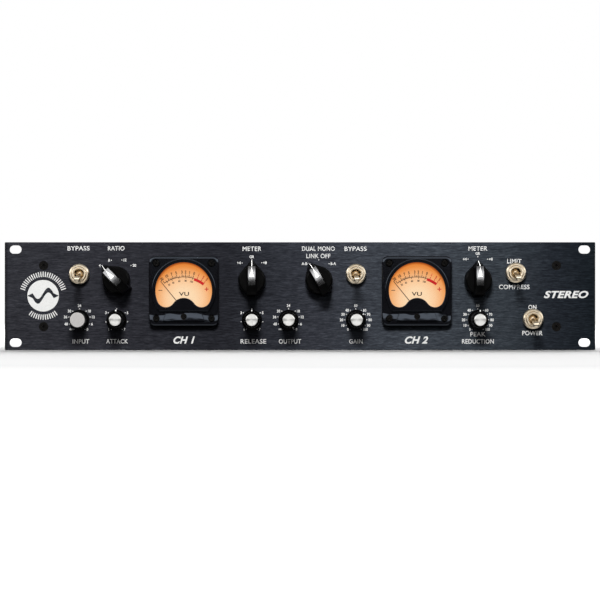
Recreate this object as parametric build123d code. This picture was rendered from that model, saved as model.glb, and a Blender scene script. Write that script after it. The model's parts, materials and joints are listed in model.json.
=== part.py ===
from build123d import *

import math
import os

# A two-unit (2U) rack compressor with two channels, as an assembly of separate pieces, in millimetres.
# The origin is the centre of the four rack slots, on the rear face of the front panel.
# +X is to the right of someone who faces the panel, +Y goes into the rack and +Z is up.

# ---------------------------------------------------------------- driving dimensions
PANEL_WIDTH, PANEL_HEIGHT, PANEL_THICK = 482.6, 88.1, 3.0
PANEL_CORNER = 0.8
FRONT = -PANEL_THICK  # y of the panel's front face

SLOT_SPACING_X, SLOT_SPACING_Z = 465.1, 76.2
SLOT_LENGTH, SLOT_WIDTH = 10.0, 6.8

CHASSIS_WIDTH, CHASSIS_DEPTH, CHASSIS_HEIGHT = 432.0, 216.0, 86.0
COVER_THICK, SIDE_THICK, REAR_THICK = 1.2, 1.5, 2.0
FLANGE = 13.0
COVER_GAP = 0.2  # between the front panel and the two covers
INSIDE_HALF_HEIGHT = CHASSIS_HEIGHT / 2 - COVER_THICK
REAR_INNER_Y = CHASSIS_DEPTH - REAR_THICK
FLOOR_Z = -INSIDE_HALF_HEIGHT

# Where each control stands on the panel (x, z).
TOGGLE_Z, ROTARY_Z, POT_Z, METER_Z = 18.0, 12.9, -19.4, 4.2
POTS = {
    "input": (-180.2, POT_Z),
    "attack": (-149.8, POT_Z),
    "release": (-39.3, POT_Z),
    "output": (-9.4, POT_Z),
    "gain": (45.6, POT_Z),
    "peak_reduction": (145.3, POT_Z),
}
ROTARIES = {
    "ratio": (-149.8, ROTARY_Z),
    "meter_left": (-39.3, ROTARY_Z),
    "link": (15.4, ROTARY_Z),
    "meter_right": (145.3, ROTARY_Z),
}
TOGGLES = {
    "bypass_left": (-180.2, TOGGLE_Z),
    "bypass_right": (45.6, TOGGLE_Z),
    "mode": (176.0, 19.0),
    "power": (190.1, -18.6),
}
METERS = {"left": (-94.7, METER_Z), "right": (95.2, METER_Z)}

# The angle of each pointer at rest, clockwise from the top as the user sees it, in degrees.
POINTER_ANGLE = {
    "input": 42,
    "attack": -4,
    "release": 0,
    "output": 150,
    "gain": 52,
    "peak_reduction": 12,
    "ratio": -45,
    "meter_left": 0,
    "link": -30,
    "meter_right": 0,
}

# Potentiometer: can, threaded bush, shaft and rotor.
POT_CAN_R, POT_CAN_DEPTH, POT_CAN_WALL = 8.4, 9.0, 0.8
POT_BUSH_R, POT_BUSH_LENGTH = 3.5, 6.6  # the length is counted from the panel's rear face
SHAFT_R, SHAFT_CLEARANCE = 3.0, 0.05
POT_ROTOR_R, POT_ROTOR_THICK = 6.6, 1.4

# Small round knob, heights counted from the panel's front face.
KNOB_GAP = 0.8
KNOB_SKIRT_R, KNOB_SKIRT_TOP = 8.2, 2.2
KNOB_BARREL_LOW_R, KNOB_BARREL_TOP_R = 6.75, 6.35
KNOB_BARREL_START, KNOB_HEIGHT = 3.6, 16.6
KNOB_FLUTES, FLUTE_R, FLUTE_DEPTH = 18, 1.0, 0.35
CAP_THICK, CAP_SEAT = 0.9, 0.6
CAP_R = {"input": 6.0}
CAP_R_DEFAULT = 4.8
GRUB_R = 1.5

# Pointer knob with a finger bar, heights counted from the panel's front face.
POINTER_BODY_R, POINTER_BODY_TOP_R, POINTER_BODY_HEIGHT = 11.3, 10.5, 8.6
NOSE_TIP_R, NOSE_CENTRE, NOSE_HEIGHT = 0.9, 15.4, 3.6
BAR_HALF_WIDTH, BAR_TAIL, BAR_TIP_HALF_WIDTH = 4.75, 13.2, 1.1
BAR_SHOULDER, BAR_TAPER = 10.2, 4.0
BAR_CREST_HEIGHT, BAR_FRONT_HEIGHT, BAR_REAR_HEIGHT = 18.2, 15.4, 15.2
BAR_FRONT, BAR_REAR = 11.9, -11.9  # ends of the curved top, along the pointer
INLAY_HALF_WIDTH, INLAY_DEPTH, INLAY_PROUD = 2.85, 0.8, 0.15
INLAY_FRONT, INLAY_REAR = 11.1, -4.4
ARROW_BASE, ARROW_TIP, ARROW_HALF_WIDTH, ARROW_RISE = 2.3, 10.7, 2.1, 0.3

# Rotary switch behind a pointer knob.
ROTARY_CAN_R, ROTARY_CAN_DEPTH, ROTARY_CAN_WALL = 13.5, 17.0, 1.5
ROTARY_BUSH_R, ROTARY_BUSH_LENGTH = 4.75, 7.0
ROTARY_ROTOR_R, ROTARY_ROTOR_THICK = 10.5, 2.0

# Toggle switch: phenolic case, threaded bush, bat lever on a cross pin.
TOGGLE_CASE = (17.5, 19.0, 28.5)
TOGGLE_CASE_WALL, TOGGLE_CASE_START = 1.8, 3.0
BUSH_R, BUSH_BORE_R, BUSH_FRONT = 5.95, 3.9, 6.2
DRESS_NUT_R, DRESS_NUT_TOP_R, DRESS_NUT_THICK = 8.35, 7.2, 4.6
LEVER_PIVOT_Y, LEVER_BALL_R = -1.5, 3.6
LEVER_NECK_R, LEVER_END_R, LEVER_LENGTH = 1.45, 2.3, 21.5
LEVER_TIP_R = 2.55
LEVER_ANGLE = 12.5
LEVER_PIN_R, LEVER_PIN_HALF = 0.9, 5.2
LEVER_TAIL = 8.5

# Moving-coil meter, heights counted from the panel's front face.
METER_SIZE, METER_CORNER = 57.0, 5.0
METER_FLANGE_THICK, METER_PLATE_HEIGHT, METER_RIM_HEIGHT = 1.6, 5.6, 7.4
METER_EDGE_R, RIM_EDGE_R = 2.0, 0.6
METER_BARREL_R, METER_BARREL_DROP, METER_BARREL_WALL, METER_BARREL_END = 23.4, 3.0, 1.4, 26.0
METER_SCREW_HALF, METER_SCREW_WELL_R, METER_SCREW_HEAD_R = 22.5, 3.3, 2.75
RIM_R, RIM_LOW_Z = 26.2, -16.6
WINDOW_R, WINDOW_RISE, WINDOW_EDGE_R = 23.0, 0.2, 0.4
LOBE_R, LOBE_LOW_Z, BUMP_TOP_Z = 7.2, -13.3, -5.7
LENS_THICK, LENS_SINK, LENS_GAP = 1.2, 1.2, 0.05
POCKET_R = 24.8
DIAL_R, DIAL_THICK = 24.5, 0.8
NEEDLE_PIVOT_Z, NEEDLE_LENGTH, NEEDLE_HALF_WIDTH, NEEDLE_THICK = -15.6, 30.2, 0.32, 0.4
NEEDLE_REST_ANGLE = -39.0
NEEDLE_FRONT_HEIGHT = 3.9
ZERO_SCREW_Z, ZERO_SCREW_R = -20.9, 2.4
CHIN_TOP_Z, CHIN_LOW_Z, CHIN_TOP_HALF, CHIN_LOW_HALF = -17.6, -25.0, 14.6, 17.4
CHIN_HEIGHT = 7.0
YOKE_R, YOKE_BORE_R, YOKE_START = 8.4, 7.0, 6.0

# Fasteners.
CASE_SCREW_X, CASE_SCREW_Z = 209.5, 25.0
M4_R, M4_HEAD_R, M4_HEAD_DEPTH, M4_LENGTH = 2.0, 3.8, 1.9, 8.0
M4_SOCKET_ACROSS_FLATS, SOCKET_DEPTH = 2.5, 1.4
M3_R, M3_HEAD_R, M3_HEAD_DEPTH, M3_LENGTH = 1.5, 2.8, 1.1, 5.0
COVER_SCREW_YS = (14.0, 108.0, 202.0)
HOLE_GAP = 0.1  # radial room round a fastener

# Rear connectors (x positions; all on one height unless named).
XLR_INPUT_XS, XLR_OUTPUT_XS = (-188.0, -78.0), (-154.0, -44.0)
JACK_XS = (-126.0, -104.0, -16.0, 6.0)
INLET_X, CONNECTOR_Z = 176.0, -4.0
XLR_FLANGE, XLR_FLANGE_THICK = (26.0, 31.0), 2.4
XLR_BARREL_R, XLR_OPEN_R, XLR_DEPTH = 11.8, 9.6, 22.0
XLR_PIN_CIRCLE, XLR_PIN_R, XLR_MALE_CAVITY = 4.0, 1.2, 15.0
XLR_INSERT_R, XLR_SOCKET_R, XLR_RING_GAP_DEPTH = 7.7, 1.35, 12.0
JACK_BORE_R, JACK_BORE_LENGTH, JACK_BUSH_R, JACK_BUSH_OUT = 3.25, 32.0, 4.8, 7.0
JACK_CASE = (16.0, 26.0, 18.0)
INLET_FLANGE, INLET_CASE, INLET_CAVITY = (50.0, 26.0), (30.0, 22.0), (24.6, 16.8)
INLET_CAVITY_DEPTH, INLET_CASE_DEPTH, INLET_FLANGE_THICK = 16.0, 24.0, 3.0
INLET_SCREW_HALF = 20.0

# Inside.
BOARD_X, BOARD_Y, BOARD_SIZE = -50.0, 112.0, (300.0, 110.0, 1.6)
BOARD_Z = FLOOR_Z + 9.0
TOROID_X, TOROID_Y, TOROID_R, TOROID_HOLE_R, TOROID_HEIGHT = 156.0, 120.0, 42.0, 14.0, 36.0


# ---------------------------------------------------------------- small helpers
def height(h):
    """The y of a point h in front of the panel's front face."""
    return FRONT - h


def slab(outline, y_front, y_back):
    """A flat outline, drawn as (x, z), as a solid between two y values."""
    return extrude(Plane.XZ.offset(-y_back) * outline, y_back - y_front)


def rod(radius, y_front, y_back, at=(0, 0)):
    """A cylinder along Y at (x, z)."""
    return slab(Pos(*at) * Circle(radius), y_front, y_back)


def turned(points, at=(0, 0)):
    """A solid of revolution about the Y line at (x, z), from (radius, y) points."""
    face = make_face(Polyline(*points, close=True))
    return Pos(at[0], 0, at[1]) * revolve(face, Axis.Y)


def hexagon_nut(across_flats, bore_r, y_front, y_back, at):
    """A plain hexagon nut round (x, z)."""
    outline = RegularPolygon(across_flats / 2, 6, major_radius=False) - Circle(bore_r)
    return slab(Pos(*at) * outline, y_front, y_back)


def block(x0, x1, y0, y1, z0, z1):
    """A box between low and high coordinates."""
    return Pos((x0 + x1) / 2, (y0 + y1) / 2, (z0 + z1) / 2) * Box(x1 - x0, y1 - y0, z1 - z0)


def turn_to(angle, at, shape):
    """Turns a shape drawn with its pointer up clockwise by angle about the origin, and moves it to (x, z)."""
    return Pos(at[0], 0, at[1]) * Rot(0, angle, 0) * shape


def flat_head(radius, head_r, head_depth, length, clearance=0.0):
    """A countersunk screw, or with clearance its hole, along -Z below its flat top at the origin."""
    r, top = radius + clearance, head_r + clearance
    points = [(0, 0), (top, 0), (r, -head_depth), (r, -length), (0, -length)]
    face = make_face(Plane.XZ * Polyline(*points, close=True))
    return revolve(face, Axis.Z)


def write(name, shape):
    """Writes one sub-part, whether it is one solid or a group of separate solids."""
    if isinstance(shape, (list, tuple)):
        shape = Compound(children=[solid for piece in shape for solid in piece.solids()])
    export_step(shape, f"parts/{name}.step")


# ---------------------------------------------------------------- front panel
def slot_centres():
    return [
        (sx * SLOT_SPACING_X / 2, sz * SLOT_SPACING_Z / 2) for sx in (-1, 1) for sz in (-1, 1)
    ]


def panel_screw_centres():
    return [(sx * CASE_SCREW_X, sz * CASE_SCREW_Z) for sx in (-1, 1) for sz in (-1, 1)]


def meter_screw_centres(at):
    return [
        (at[0] + sx * METER_SCREW_HALF, at[1] + sz * METER_SCREW_HALF)
        for sx in (-1, 1)
        for sz in (-1, 1)
    ]


def panel_screw(at, clearance=0.0):
    """A countersunk M4 screw from the front with a hexagon socket, or its hole."""
    screw = flat_head(M4_R, M4_HEAD_R, M4_HEAD_DEPTH, M4_LENGTH, clearance)
    if not clearance:
        socket = RegularPolygon(M4_SOCKET_ACROSS_FLATS / 2, 6, major_radius=False)
        screw -= extrude(Plane.XY * socket, -SOCKET_DEPTH)
    return Pos(at[0], FRONT, at[1]) * Rot(90, 0, 0) * screw


def front_panel():
    panel = slab(RectangleRounded(PANEL_WIDTH, PANEL_HEIGHT, PANEL_CORNER), FRONT, 0)
    cuts = [
        slab(Pos(*c) * SlotOverall(SLOT_LENGTH, SLOT_WIDTH), FRONT, 0) for c in slot_centres()
    ]
    cuts += [panel_screw(c, HOLE_GAP) for c in panel_screw_centres()]
    cuts += [rod(POT_BUSH_R + HOLE_GAP, FRONT, 0, c) for c in POTS.values()]
    cuts += [rod(ROTARY_BUSH_R + HOLE_GAP, FRONT, 0, c) for c in ROTARIES.values()]
    cuts += [rod(BUSH_R + HOLE_GAP, FRONT, 0, c) for c in TOGGLES.values()]
    for x, z in METERS.values():
        cuts.append(rod(METER_BARREL_R + HOLE_GAP, FRONT, 0, (x, z - METER_BARREL_DROP)))
        cuts += [rod(M3_R + HOLE_GAP, FRONT, 0, c) for c in meter_screw_centres((x, z))]
    panel -= cuts
    front_edges = panel.faces().sort_by(Axis.Y)[0].outer_wire().edges()
    return chamfer(front_edges, 0.3)


# ---------------------------------------------------------------- small round knobs
def pot_body(at):
    """The can and threaded bush of a potentiometer, open inside for the rotor."""
    bush_y = -POT_BUSH_LENGTH
    bore = SHAFT_R + SHAFT_CLEARANCE
    inner_r = POT_CAN_R - POT_CAN_WALL
    front_wall, back_wall = 1.2, POT_CAN_DEPTH - POT_CAN_WALL
    points = [
        (bore, bush_y),
        (POT_BUSH_R, bush_y),
        (POT_BUSH_R, 0),
        (POT_CAN_R, 0),
        (POT_CAN_R, POT_CAN_DEPTH),
        (0, POT_CAN_DEPTH),
        (0, back_wall),
        (inner_r, back_wall),
        (inner_r, front_wall),
        (bore, front_wall),
    ]
    return turned(points, at)


def pot_shaft(name):
    """The steel shaft with its rotor and wiper arm, and the grub screw that holds the knob."""
    top = height(KNOB_HEIGHT - 3.0)
    rotor_y = 3.0
    rotor_end = rotor_y + POT_ROTOR_THICK
    shaft = rod(SHAFT_R, top, rotor_end)
    rotor = rod(POT_ROTOR_R, rotor_y, rotor_end)
    wiper = block(-1.2, 1.2, rotor_end, rotor_end + 1.0, 1.0, POT_ROTOR_R - 0.6)
    grub = grub_screw(KNOB_BARREL_LOW_R - 0.6)
    at, angle = POTS[name], POINTER_ANGLE[name]
    return [turn_to(angle, at, shaft + rotor + wiper), turn_to(angle, at, grub)]


def grub_screw(outer):
    """A grub screw across the knob, opposite the pointer, between the shaft and the knob's side."""
    middle = (SHAFT_R + outer) / 2
    return Pos(0, height(6.2), -middle) * Cylinder(GRUB_R, outer - SHAFT_R)


def knob_cavity(radius, depth):
    """The hollow under a knob that clears the nut."""
    return rod(radius, height(depth), height(0))


def round_knob(name):
    """A skirted, fluted knob with a seat for its metal cap."""
    cap_r = CAP_R.get(name, CAP_R_DEFAULT)
    top_r = max(KNOB_BARREL_TOP_R, cap_r + 0.35)
    low_r = max(KNOB_BARREL_LOW_R, top_r + 0.2)
    points = [
        (0, height(KNOB_GAP)),
        (KNOB_SKIRT_R, height(KNOB_GAP)),
        (KNOB_SKIRT_R, height(KNOB_SKIRT_TOP)),
        (low_r + 0.3, height(KNOB_BARREL_START)),
        (low_r, height(KNOB_BARREL_START + 0.4)),
        (top_r, height(KNOB_HEIGHT - 0.6)),
        (top_r - 0.5, height(KNOB_HEIGHT)),
        (0, height(KNOB_HEIGHT)),
    ]
    knob = turned(points)
    flute = rod(FLUTE_R, height(KNOB_HEIGHT + 1), height(KNOB_BARREL_START + 1.2))
    middle_r = low_r + FLUTE_R - FLUTE_DEPTH
    pitch = 360 / KNOB_FLUTES
    knob -= [Rot(0, pitch * (i + 0.5), 0) * Pos(0, 0, middle_r) * flute for i in range(KNOB_FLUTES)]
    knob -= knob_cavity(6.3, 4.4)
    knob -= rod(SHAFT_R, height(KNOB_HEIGHT - 3.0), height(0))
    knob -= rod(cap_r, height(KNOB_HEIGHT + 1), height(KNOB_HEIGHT - CAP_SEAT))
    knob -= grub_screw(KNOB_BARREL_LOW_R + 1)
    return turn_to(POINTER_ANGLE[name], POTS[name], knob)


def knob_cap(name):
    """The turned aluminium disc on a round knob's end."""
    cap_r = CAP_R.get(name, CAP_R_DEFAULT)
    low, top = height(KNOB_HEIGHT - CAP_SEAT), height(KNOB_HEIGHT - CAP_SEAT + CAP_THICK)
    points = [(0, low), (cap_r, low), (cap_r, top + 0.25), (cap_r - 0.3, top), (0, top)]
    return turned(points, POTS[name])


# ---------------------------------------------------------------- pointer knobs
def crest_arc(offset=0.0):
    """The curved top of the finger bar, as (y, z) in the side view, moved out by offset."""
    start = (height(BAR_REAR_HEIGHT + offset), BAR_REAR)
    middle = (height(BAR_CREST_HEIGHT + offset), (BAR_REAR + BAR_FRONT) / 2)
    end = (height(BAR_FRONT_HEIGHT + offset), BAR_FRONT)
    return start, middle, end


def side_solid(lines, half_width):
    """A side-view outline of (y, z) lines as a solid, symmetric about the knob's middle."""
    return extrude(Plane.YZ * make_face(lines), half_width, both=True)


def finger_bar():
    """The grip across a pointer knob: a drafted plan outline cut to a curved side profile."""
    outline = Polyline(
        (-BAR_HALF_WIDTH, -BAR_TAIL),
        (BAR_HALF_WIDTH, -BAR_TAIL),
        (BAR_HALF_WIDTH, BAR_SHOULDER),
        (BAR_TIP_HALF_WIDTH, NOSE_CENTRE + 0.6),
        (-BAR_TIP_HALF_WIDTH, NOSE_CENTRE + 0.6),
        (-BAR_HALF_WIDTH, BAR_SHOULDER),
        close=True,
    )
    base = Plane.XZ.offset(-height(KNOB_GAP)) * make_face(outline)
    plan = extrude(base, BAR_CREST_HEIGHT + 2, taper=BAR_TAPER)
    start, middle, end = crest_arc()
    foot = height(KNOB_GAP)
    nose_top = (height(NOSE_HEIGHT), NOSE_CENTRE + 0.5)
    sides = Polyline(end, nose_top, (foot, NOSE_CENTRE + 0.7), (foot, -BAR_TAIL), start)
    profile = ThreePointArc(start, middle, end) + sides
    return plan & side_solid(profile, BAR_HALF_WIDTH + 1)


def curved_strip(low, high, half_width, z_rear, z_front):
    """A strip on the finger bar's curved top, between two offsets from it."""
    inner, outer = crest_arc(low), crest_arc(high)
    band = (
        ThreePointArc(*inner)
        + Line(inner[2], outer[2])
        + ThreePointArc(*outer[::-1])
        + Line(outer[0], inner[0])
    )
    strip = side_solid(band, half_width)
    return strip & block(-half_width, half_width, height(30), height(0), z_rear, z_front)


def pointer_inlay():
    """The aluminium strip on the finger bar with its raised arrow."""
    strip = curved_strip(-INLAY_DEPTH, INLAY_PROUD, INLAY_HALF_WIDTH, INLAY_REAR, INLAY_FRONT)
    arrow_band = curved_strip(
        -INLAY_DEPTH / 2, INLAY_PROUD + ARROW_RISE, INLAY_HALF_WIDTH, INLAY_REAR, INLAY_FRONT
    )
    triangle = make_face(
        Polyline(
            (-ARROW_HALF_WIDTH, ARROW_BASE), (ARROW_HALF_WIDTH, ARROW_BASE), (0, ARROW_TIP), close=True
        )
    )
    return strip + (arrow_band & slab(triangle, height(30), height(0)))


def pointer_knob_body():
    """A round body with a nose and a finger bar, hollow below and bored for the shaft."""
    foot = height(KNOB_GAP)
    nose_tip = Pos(0, NOSE_CENTRE) * Circle(NOSE_TIP_R)
    outline = make_hull(Circle(POINTER_BODY_R).edges() + nose_tip.edges())
    skirt = extrude(Plane.XZ.offset(-foot) * outline, NOSE_HEIGHT - KNOB_GAP)
    points = [
        (0, foot),
        (POINTER_BODY_R, foot),
        (POINTER_BODY_R, height(NOSE_HEIGHT)),
        (POINTER_BODY_TOP_R + 0.2, height(POINTER_BODY_HEIGHT - 1.2)),
        (POINTER_BODY_TOP_R - 0.9, height(POINTER_BODY_HEIGHT)),
        (0, height(POINTER_BODY_HEIGHT)),
    ]
    knob = skirt + turned(points) + finger_bar()
    knob -= knob_cavity(9.0, 4.8)
    knob -= rod(SHAFT_R, height(BAR_CREST_HEIGHT - 4.5), foot)
    knob -= curved_strip(-INLAY_DEPTH, INLAY_DEPTH + 2, INLAY_HALF_WIDTH, INLAY_REAR, INLAY_FRONT)
    knob -= grub_screw(POINTER_BODY_R + 3)
    return knob


def rotary_body(at):
    """The can and threaded bush of a rotary switch, open inside for the rotor."""
    bore = SHAFT_R + SHAFT_CLEARANCE
    inner_r = ROTARY_CAN_R - ROTARY_CAN_WALL
    front_wall, back_wall = 2.0, ROTARY_CAN_DEPTH - ROTARY_CAN_WALL
    points = [
        (bore, -ROTARY_BUSH_LENGTH),
        (ROTARY_BUSH_R, -ROTARY_BUSH_LENGTH),
        (ROTARY_BUSH_R, 0),
        (ROTARY_CAN_R, 0),
        (ROTARY_CAN_R, ROTARY_CAN_DEPTH),
        (0, ROTARY_CAN_DEPTH),
        (0, back_wall),
        (inner_r, back_wall),
        (inner_r, front_wall),
        (bore, front_wall),
    ]
    return turned(points, at)


def rotary_shaft():
    """The shaft with its detent rotor and contact arm, and the grub screw that holds the knob."""
    rotor_y = 5.0
    rotor_end = rotor_y + ROTARY_ROTOR_THICK
    shaft = rod(SHAFT_R, height(BAR_CREST_HEIGHT - 4.5), rotor_end + 5)
    rotor = rod(ROTARY_ROTOR_R, rotor_y, rotor_end)
    notches = [
        Rot(0, 30 * i, 0) * Pos(0, 0, ROTARY_ROTOR_R) * rod(1.0, rotor_y, rotor_end) for i in range(12)
    ]
    arm = block(-1.5, 1.5, rotor_end + 2.0, rotor_end + 3.0, 0, ROTARY_ROTOR_R - 1)
    return [shaft + (rotor - notches) + arm, grub_screw(POINTER_BODY_R - 1.2)]


# ---------------------------------------------------------------- toggle switches
def toggle_bush(at):
    """The threaded bush with the lever's bore and the two holes for its cross pin."""
    front, back = height(BUSH_FRONT), TOGGLE_CASE_START
    points = [
        (BUSH_BORE_R, back),
        (BUSH_R, back),
        (BUSH_R, front + 0.5),
        (BUSH_R - 0.5, front),
        (BUSH_BORE_R + 0.7, front),
        (BUSH_BORE_R, front + 0.7),
    ]
    bush = turned(points)
    pin_hole = Rot(0, 90, 0) * Cylinder(LEVER_PIN_R + SHAFT_CLEARANCE, 2 * LEVER_PIN_HALF + 0.4)
    return Pos(at[0], 0, at[1]) * (bush - Pos(0, LEVER_PIVOT_Y, 0) * pin_hole)


def toggle_case(at):
    """The hollow case behind the bush, with three solder tags."""
    width, depth, tall = TOGGLE_CASE
    y0, y1 = TOGGLE_CASE_START, TOGGLE_CASE_START + depth
    wall = TOGGLE_CASE_WALL
    case = block(-width / 2, width / 2, y0, y1, -tall / 2, tall / 2)
    case -= block(
        -width / 2 + wall, width / 2 - wall, y0 + wall, y1 - wall, -tall / 2 + wall, tall / 2 - wall
    )
    case -= rod(BUSH_BORE_R, y0, y0 + wall)
    for z in (-9.0, 0.0, 9.0):
        case += block(-2.4, 2.4, y1, y1 + 7, z - 0.4, z + 0.4)
    return Pos(at[0], 0, at[1]) * case


def toggle_lever(at):
    """A bat lever with its ball, cross pin and tail, at rest pointing down."""
    tip = -LEVER_LENGTH
    bat_points = [
        (0, LEVER_TAIL),
        (LEVER_NECK_R, LEVER_TAIL),
        (LEVER_NECK_R, -5.0),
        (LEVER_END_R, tip + 1.0),
        (LEVER_END_R, tip),
        (0, tip),
    ]
    lever = turned(bat_points) + Sphere(LEVER_BALL_R) + Pos(0, tip, 0) * Sphere(LEVER_TIP_R)
    lever += Rot(0, 90, 0) * Cylinder(LEVER_PIN_R, 2 * LEVER_PIN_HALF)
    return Pos(at[0], LEVER_PIVOT_Y, at[1]) * Rot(LEVER_ANGLE, 0, 0) * lever


def dress_nut(at):
    """The round domed nut on the front of a toggle switch."""
    low, top = height(0), height(DRESS_NUT_THICK)
    bore = BUSH_R + 0.02
    points = [
        (bore, low),
        (DRESS_NUT_R, low),
        (DRESS_NUT_R, top + 1.6),
        (DRESS_NUT_R - 0.35, top + 0.7),
        (DRESS_NUT_TOP_R, top),
        (bore + 0.3, top),
        (bore, top + 0.3),
    ]
    return turned(points, at)


# ---------------------------------------------------------------- meters
def window_outline(shrink=0.0):
    """The meter's window: a big arc, two round lobes below it and a bump between them, all tangent."""
    big, lobe = WINDOW_R - shrink, LOBE_R - shrink
    lobe_z = LOBE_LOW_Z + LOBE_R
    lobe_x = math.sqrt((WINDOW_R - LOBE_R) ** 2 - (lobe_z - WINDOW_RISE) ** 2)
    # The bump's circle has its top at BUMP_TOP_Z and touches both lobes from outside.
    drop = BUMP_TOP_Z - lobe_z
    bump = (lobe_x**2 + drop**2 - LOBE_R**2) / (2 * (LOBE_R + drop))
    bump_z = BUMP_TOP_Z - bump
    bump += shrink
    side = math.atan2(lobe_z - WINDOW_RISE, lobe_x)
    join = (big * math.cos(side), WINDOW_RISE + big * math.sin(side))
    to_bump = math.atan2(bump_z - lobe_z, -lobe_x)
    meet = (lobe_x + lobe * math.cos(to_bump), lobe_z + lobe * math.sin(to_bump))
    low = (side + to_bump + 2 * math.pi) / 2 if to_bump > 0 else (side + to_bump) / 2
    lobe_low = (lobe_x + lobe * math.cos(low), lobe_z + lobe * math.sin(low))

    def mirrored(p):
        return (-p[0], p[1])

    return make_face(
        ThreePointArc(mirrored(join), (0, WINDOW_RISE + big), join)
        + ThreePointArc(join, lobe_low, meet)
        + ThreePointArc(meet, (0, bump_z + bump), mirrored(meet))
        + ThreePointArc(mirrored(meet), mirrored(lobe_low), mirrored(join))
    )


def meter_bezel():
    """The glossy front cover of a meter: rounded plate, raised rim round the window, and chin."""
    low, plate, rim = (height(h) for h in (METER_FLANGE_THICK, METER_PLATE_HEIGHT, METER_RIM_HEIGHT))
    cover = slab(RectangleRounded(METER_SIZE, METER_SIZE, METER_CORNER), plate, low)
    plate_edges = cover.faces().sort_by(Axis.Y)[0].outer_wire().edges()
    cover = fillet(plate_edges, METER_EDGE_R)
    rim_disc = rod(RIM_R, rim, plate, (0, WINDOW_RISE))
    rim_disc -= block(-30, 30, height(20), 0, -40, RIM_LOW_Z)
    rim_disc = fillet(rim_disc.faces().sort_by(Axis.Y)[0].outer_wire().edges(), RIM_EDGE_R)
    cover += rim_disc
    chin_outline = Polyline(
        (-CHIN_LOW_HALF, CHIN_LOW_Z),
        (CHIN_LOW_HALF, CHIN_LOW_Z),
        (CHIN_TOP_HALF, CHIN_TOP_Z),
        (-CHIN_TOP_HALF, CHIN_TOP_Z),
        close=True,
    )
    chin_base = Plane.XZ.offset(-plate) * make_face(chin_outline)
    cover += extrude(chin_base, CHIN_HEIGHT - METER_PLATE_HEIGHT, taper=20)
    lens_back = height(METER_RIM_HEIGHT - LENS_SINK - LENS_THICK)
    cover -= rod(POCKET_R, lens_back, low)
    cover -= slab(window_outline(), height(20), low)
    window_edges = cover.faces().sort_by(Axis.Y)[0].inner_wires()[0].edges()
    cover = fillet(window_edges, WINDOW_EDGE_R)
    for x, z in meter_screw_centres((0, 0)):
        cover -= rod(METER_SCREW_WELL_R, height(20), height(METER_PLATE_HEIGHT - 2.2), (x, z))
        cover -= rod(M3_R + HOLE_GAP, height(20), low, (x, z))
    cover -= rod(ZERO_SCREW_R + HOLE_GAP, height(20), low, (0, ZERO_SCREW_Z))
    return cover


def meter_case():
    """The black moulding behind the bezel: flange and barrel, with two terminal studs."""
    low, front = height(0), height(METER_FLANGE_THICK)
    flange = slab(RectangleRounded(METER_SIZE, METER_SIZE, METER_CORNER), front, low)
    flange -= [rod(M3_R + HOLE_GAP, front, low, c) for c in meter_screw_centres((0, 0))]
    centre = (0, -METER_BARREL_DROP)
    barrel = rod(METER_BARREL_R, low, METER_BARREL_END, centre)
    inside = rod(METER_BARREL_R - METER_BARREL_WALL, front, METER_BARREL_END - METER_BARREL_WALL, centre)
    case = flange + barrel - inside
    for x in (-9.5, 9.5):
        case += rod(1.6, METER_BARREL_END, METER_BARREL_END + 8, (x, -METER_BARREL_DROP))
    return case


def meter_lens():
    """The clear window."""
    front = height(METER_RIM_HEIGHT - LENS_SINK)
    return slab(window_outline(LENS_GAP), front, front + LENS_THICK)


def meter_dial():
    """The printed dial plate, cut away below for the pointer's spindle."""
    back = height(METER_FLANGE_THICK)
    plate = Circle(DIAL_R) - Pos(0, NEEDLE_PIVOT_Z) * Circle(4.2)
    plate -= Pos(0, NEEDLE_PIVOT_Z - 10) * Rectangle(8.4, 20)
    return slab(plate, back - DIAL_THICK, back)


def meter_needle():
    """The pointer with its spindle, coil and counterweight, at rest on the left stop."""
    front = height(NEEDLE_FRONT_HEIGHT)
    back = front + NEEDLE_THICK
    arm = Polyline(
        (-NEEDLE_HALF_WIDTH * 1.6, -5.0),
        (NEEDLE_HALF_WIDTH * 1.6, -5.0),
        (NEEDLE_HALF_WIDTH, 8.0),
        (NEEDLE_HALF_WIDTH * 0.8, NEEDLE_LENGTH),
        (-NEEDLE_HALF_WIDTH * 0.8, NEEDLE_LENGTH),
        (-NEEDLE_HALF_WIDTH, 8.0),
        close=True,
    )
    needle = slab(make_face(arm), front, back) + rod(2.0, front, back)
    needle += rod(1.2, front, METER_BARREL_END - METER_BARREL_WALL - 1.0)
    needle += block(-1.1, 1.1, front, back + 0.8, -5.0, -3.6)
    coil = block(-5.2, 5.2, 10, 20, -2.2, 2.2) - block(-4.2, 4.2, 11, 19, -2.2, 2.2)
    needle += coil
    return Pos(0, 0, NEEDLE_PIVOT_Z) * Rot(0, NEEDLE_REST_ANGLE, 0) * needle


def meter_movement():
    """The iron yoke round the coil, with the spindle's rear bearing."""
    end = METER_BARREL_END - METER_BARREL_WALL
    yoke = rod(YOKE_R, YOKE_START, end) - rod(YOKE_BORE_R, YOKE_START, end - 1.8)
    yoke -= rod(1.2 + SHAFT_CLEARANCE, YOKE_START, end)
    return Pos(0, 0, NEEDLE_PIVOT_Z) * yoke


def zero_screw():
    """The slotted screw that sets the pointer's zero."""
    top, low = height(CHIN_HEIGHT + 0.1), height(METER_RIM_HEIGHT - LENS_SINK - LENS_THICK)
    r = ZERO_SCREW_R
    points = [(0, low), (r, low), (r, top + 0.5), (r - 0.5, top), (0, top)]
    screw = turned(points) - block(-r, r, top - 1, top + 0.8, -0.3, 0.3)
    return Pos(0, 0, ZERO_SCREW_Z) * Rot(0, 35, 0) * screw


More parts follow.
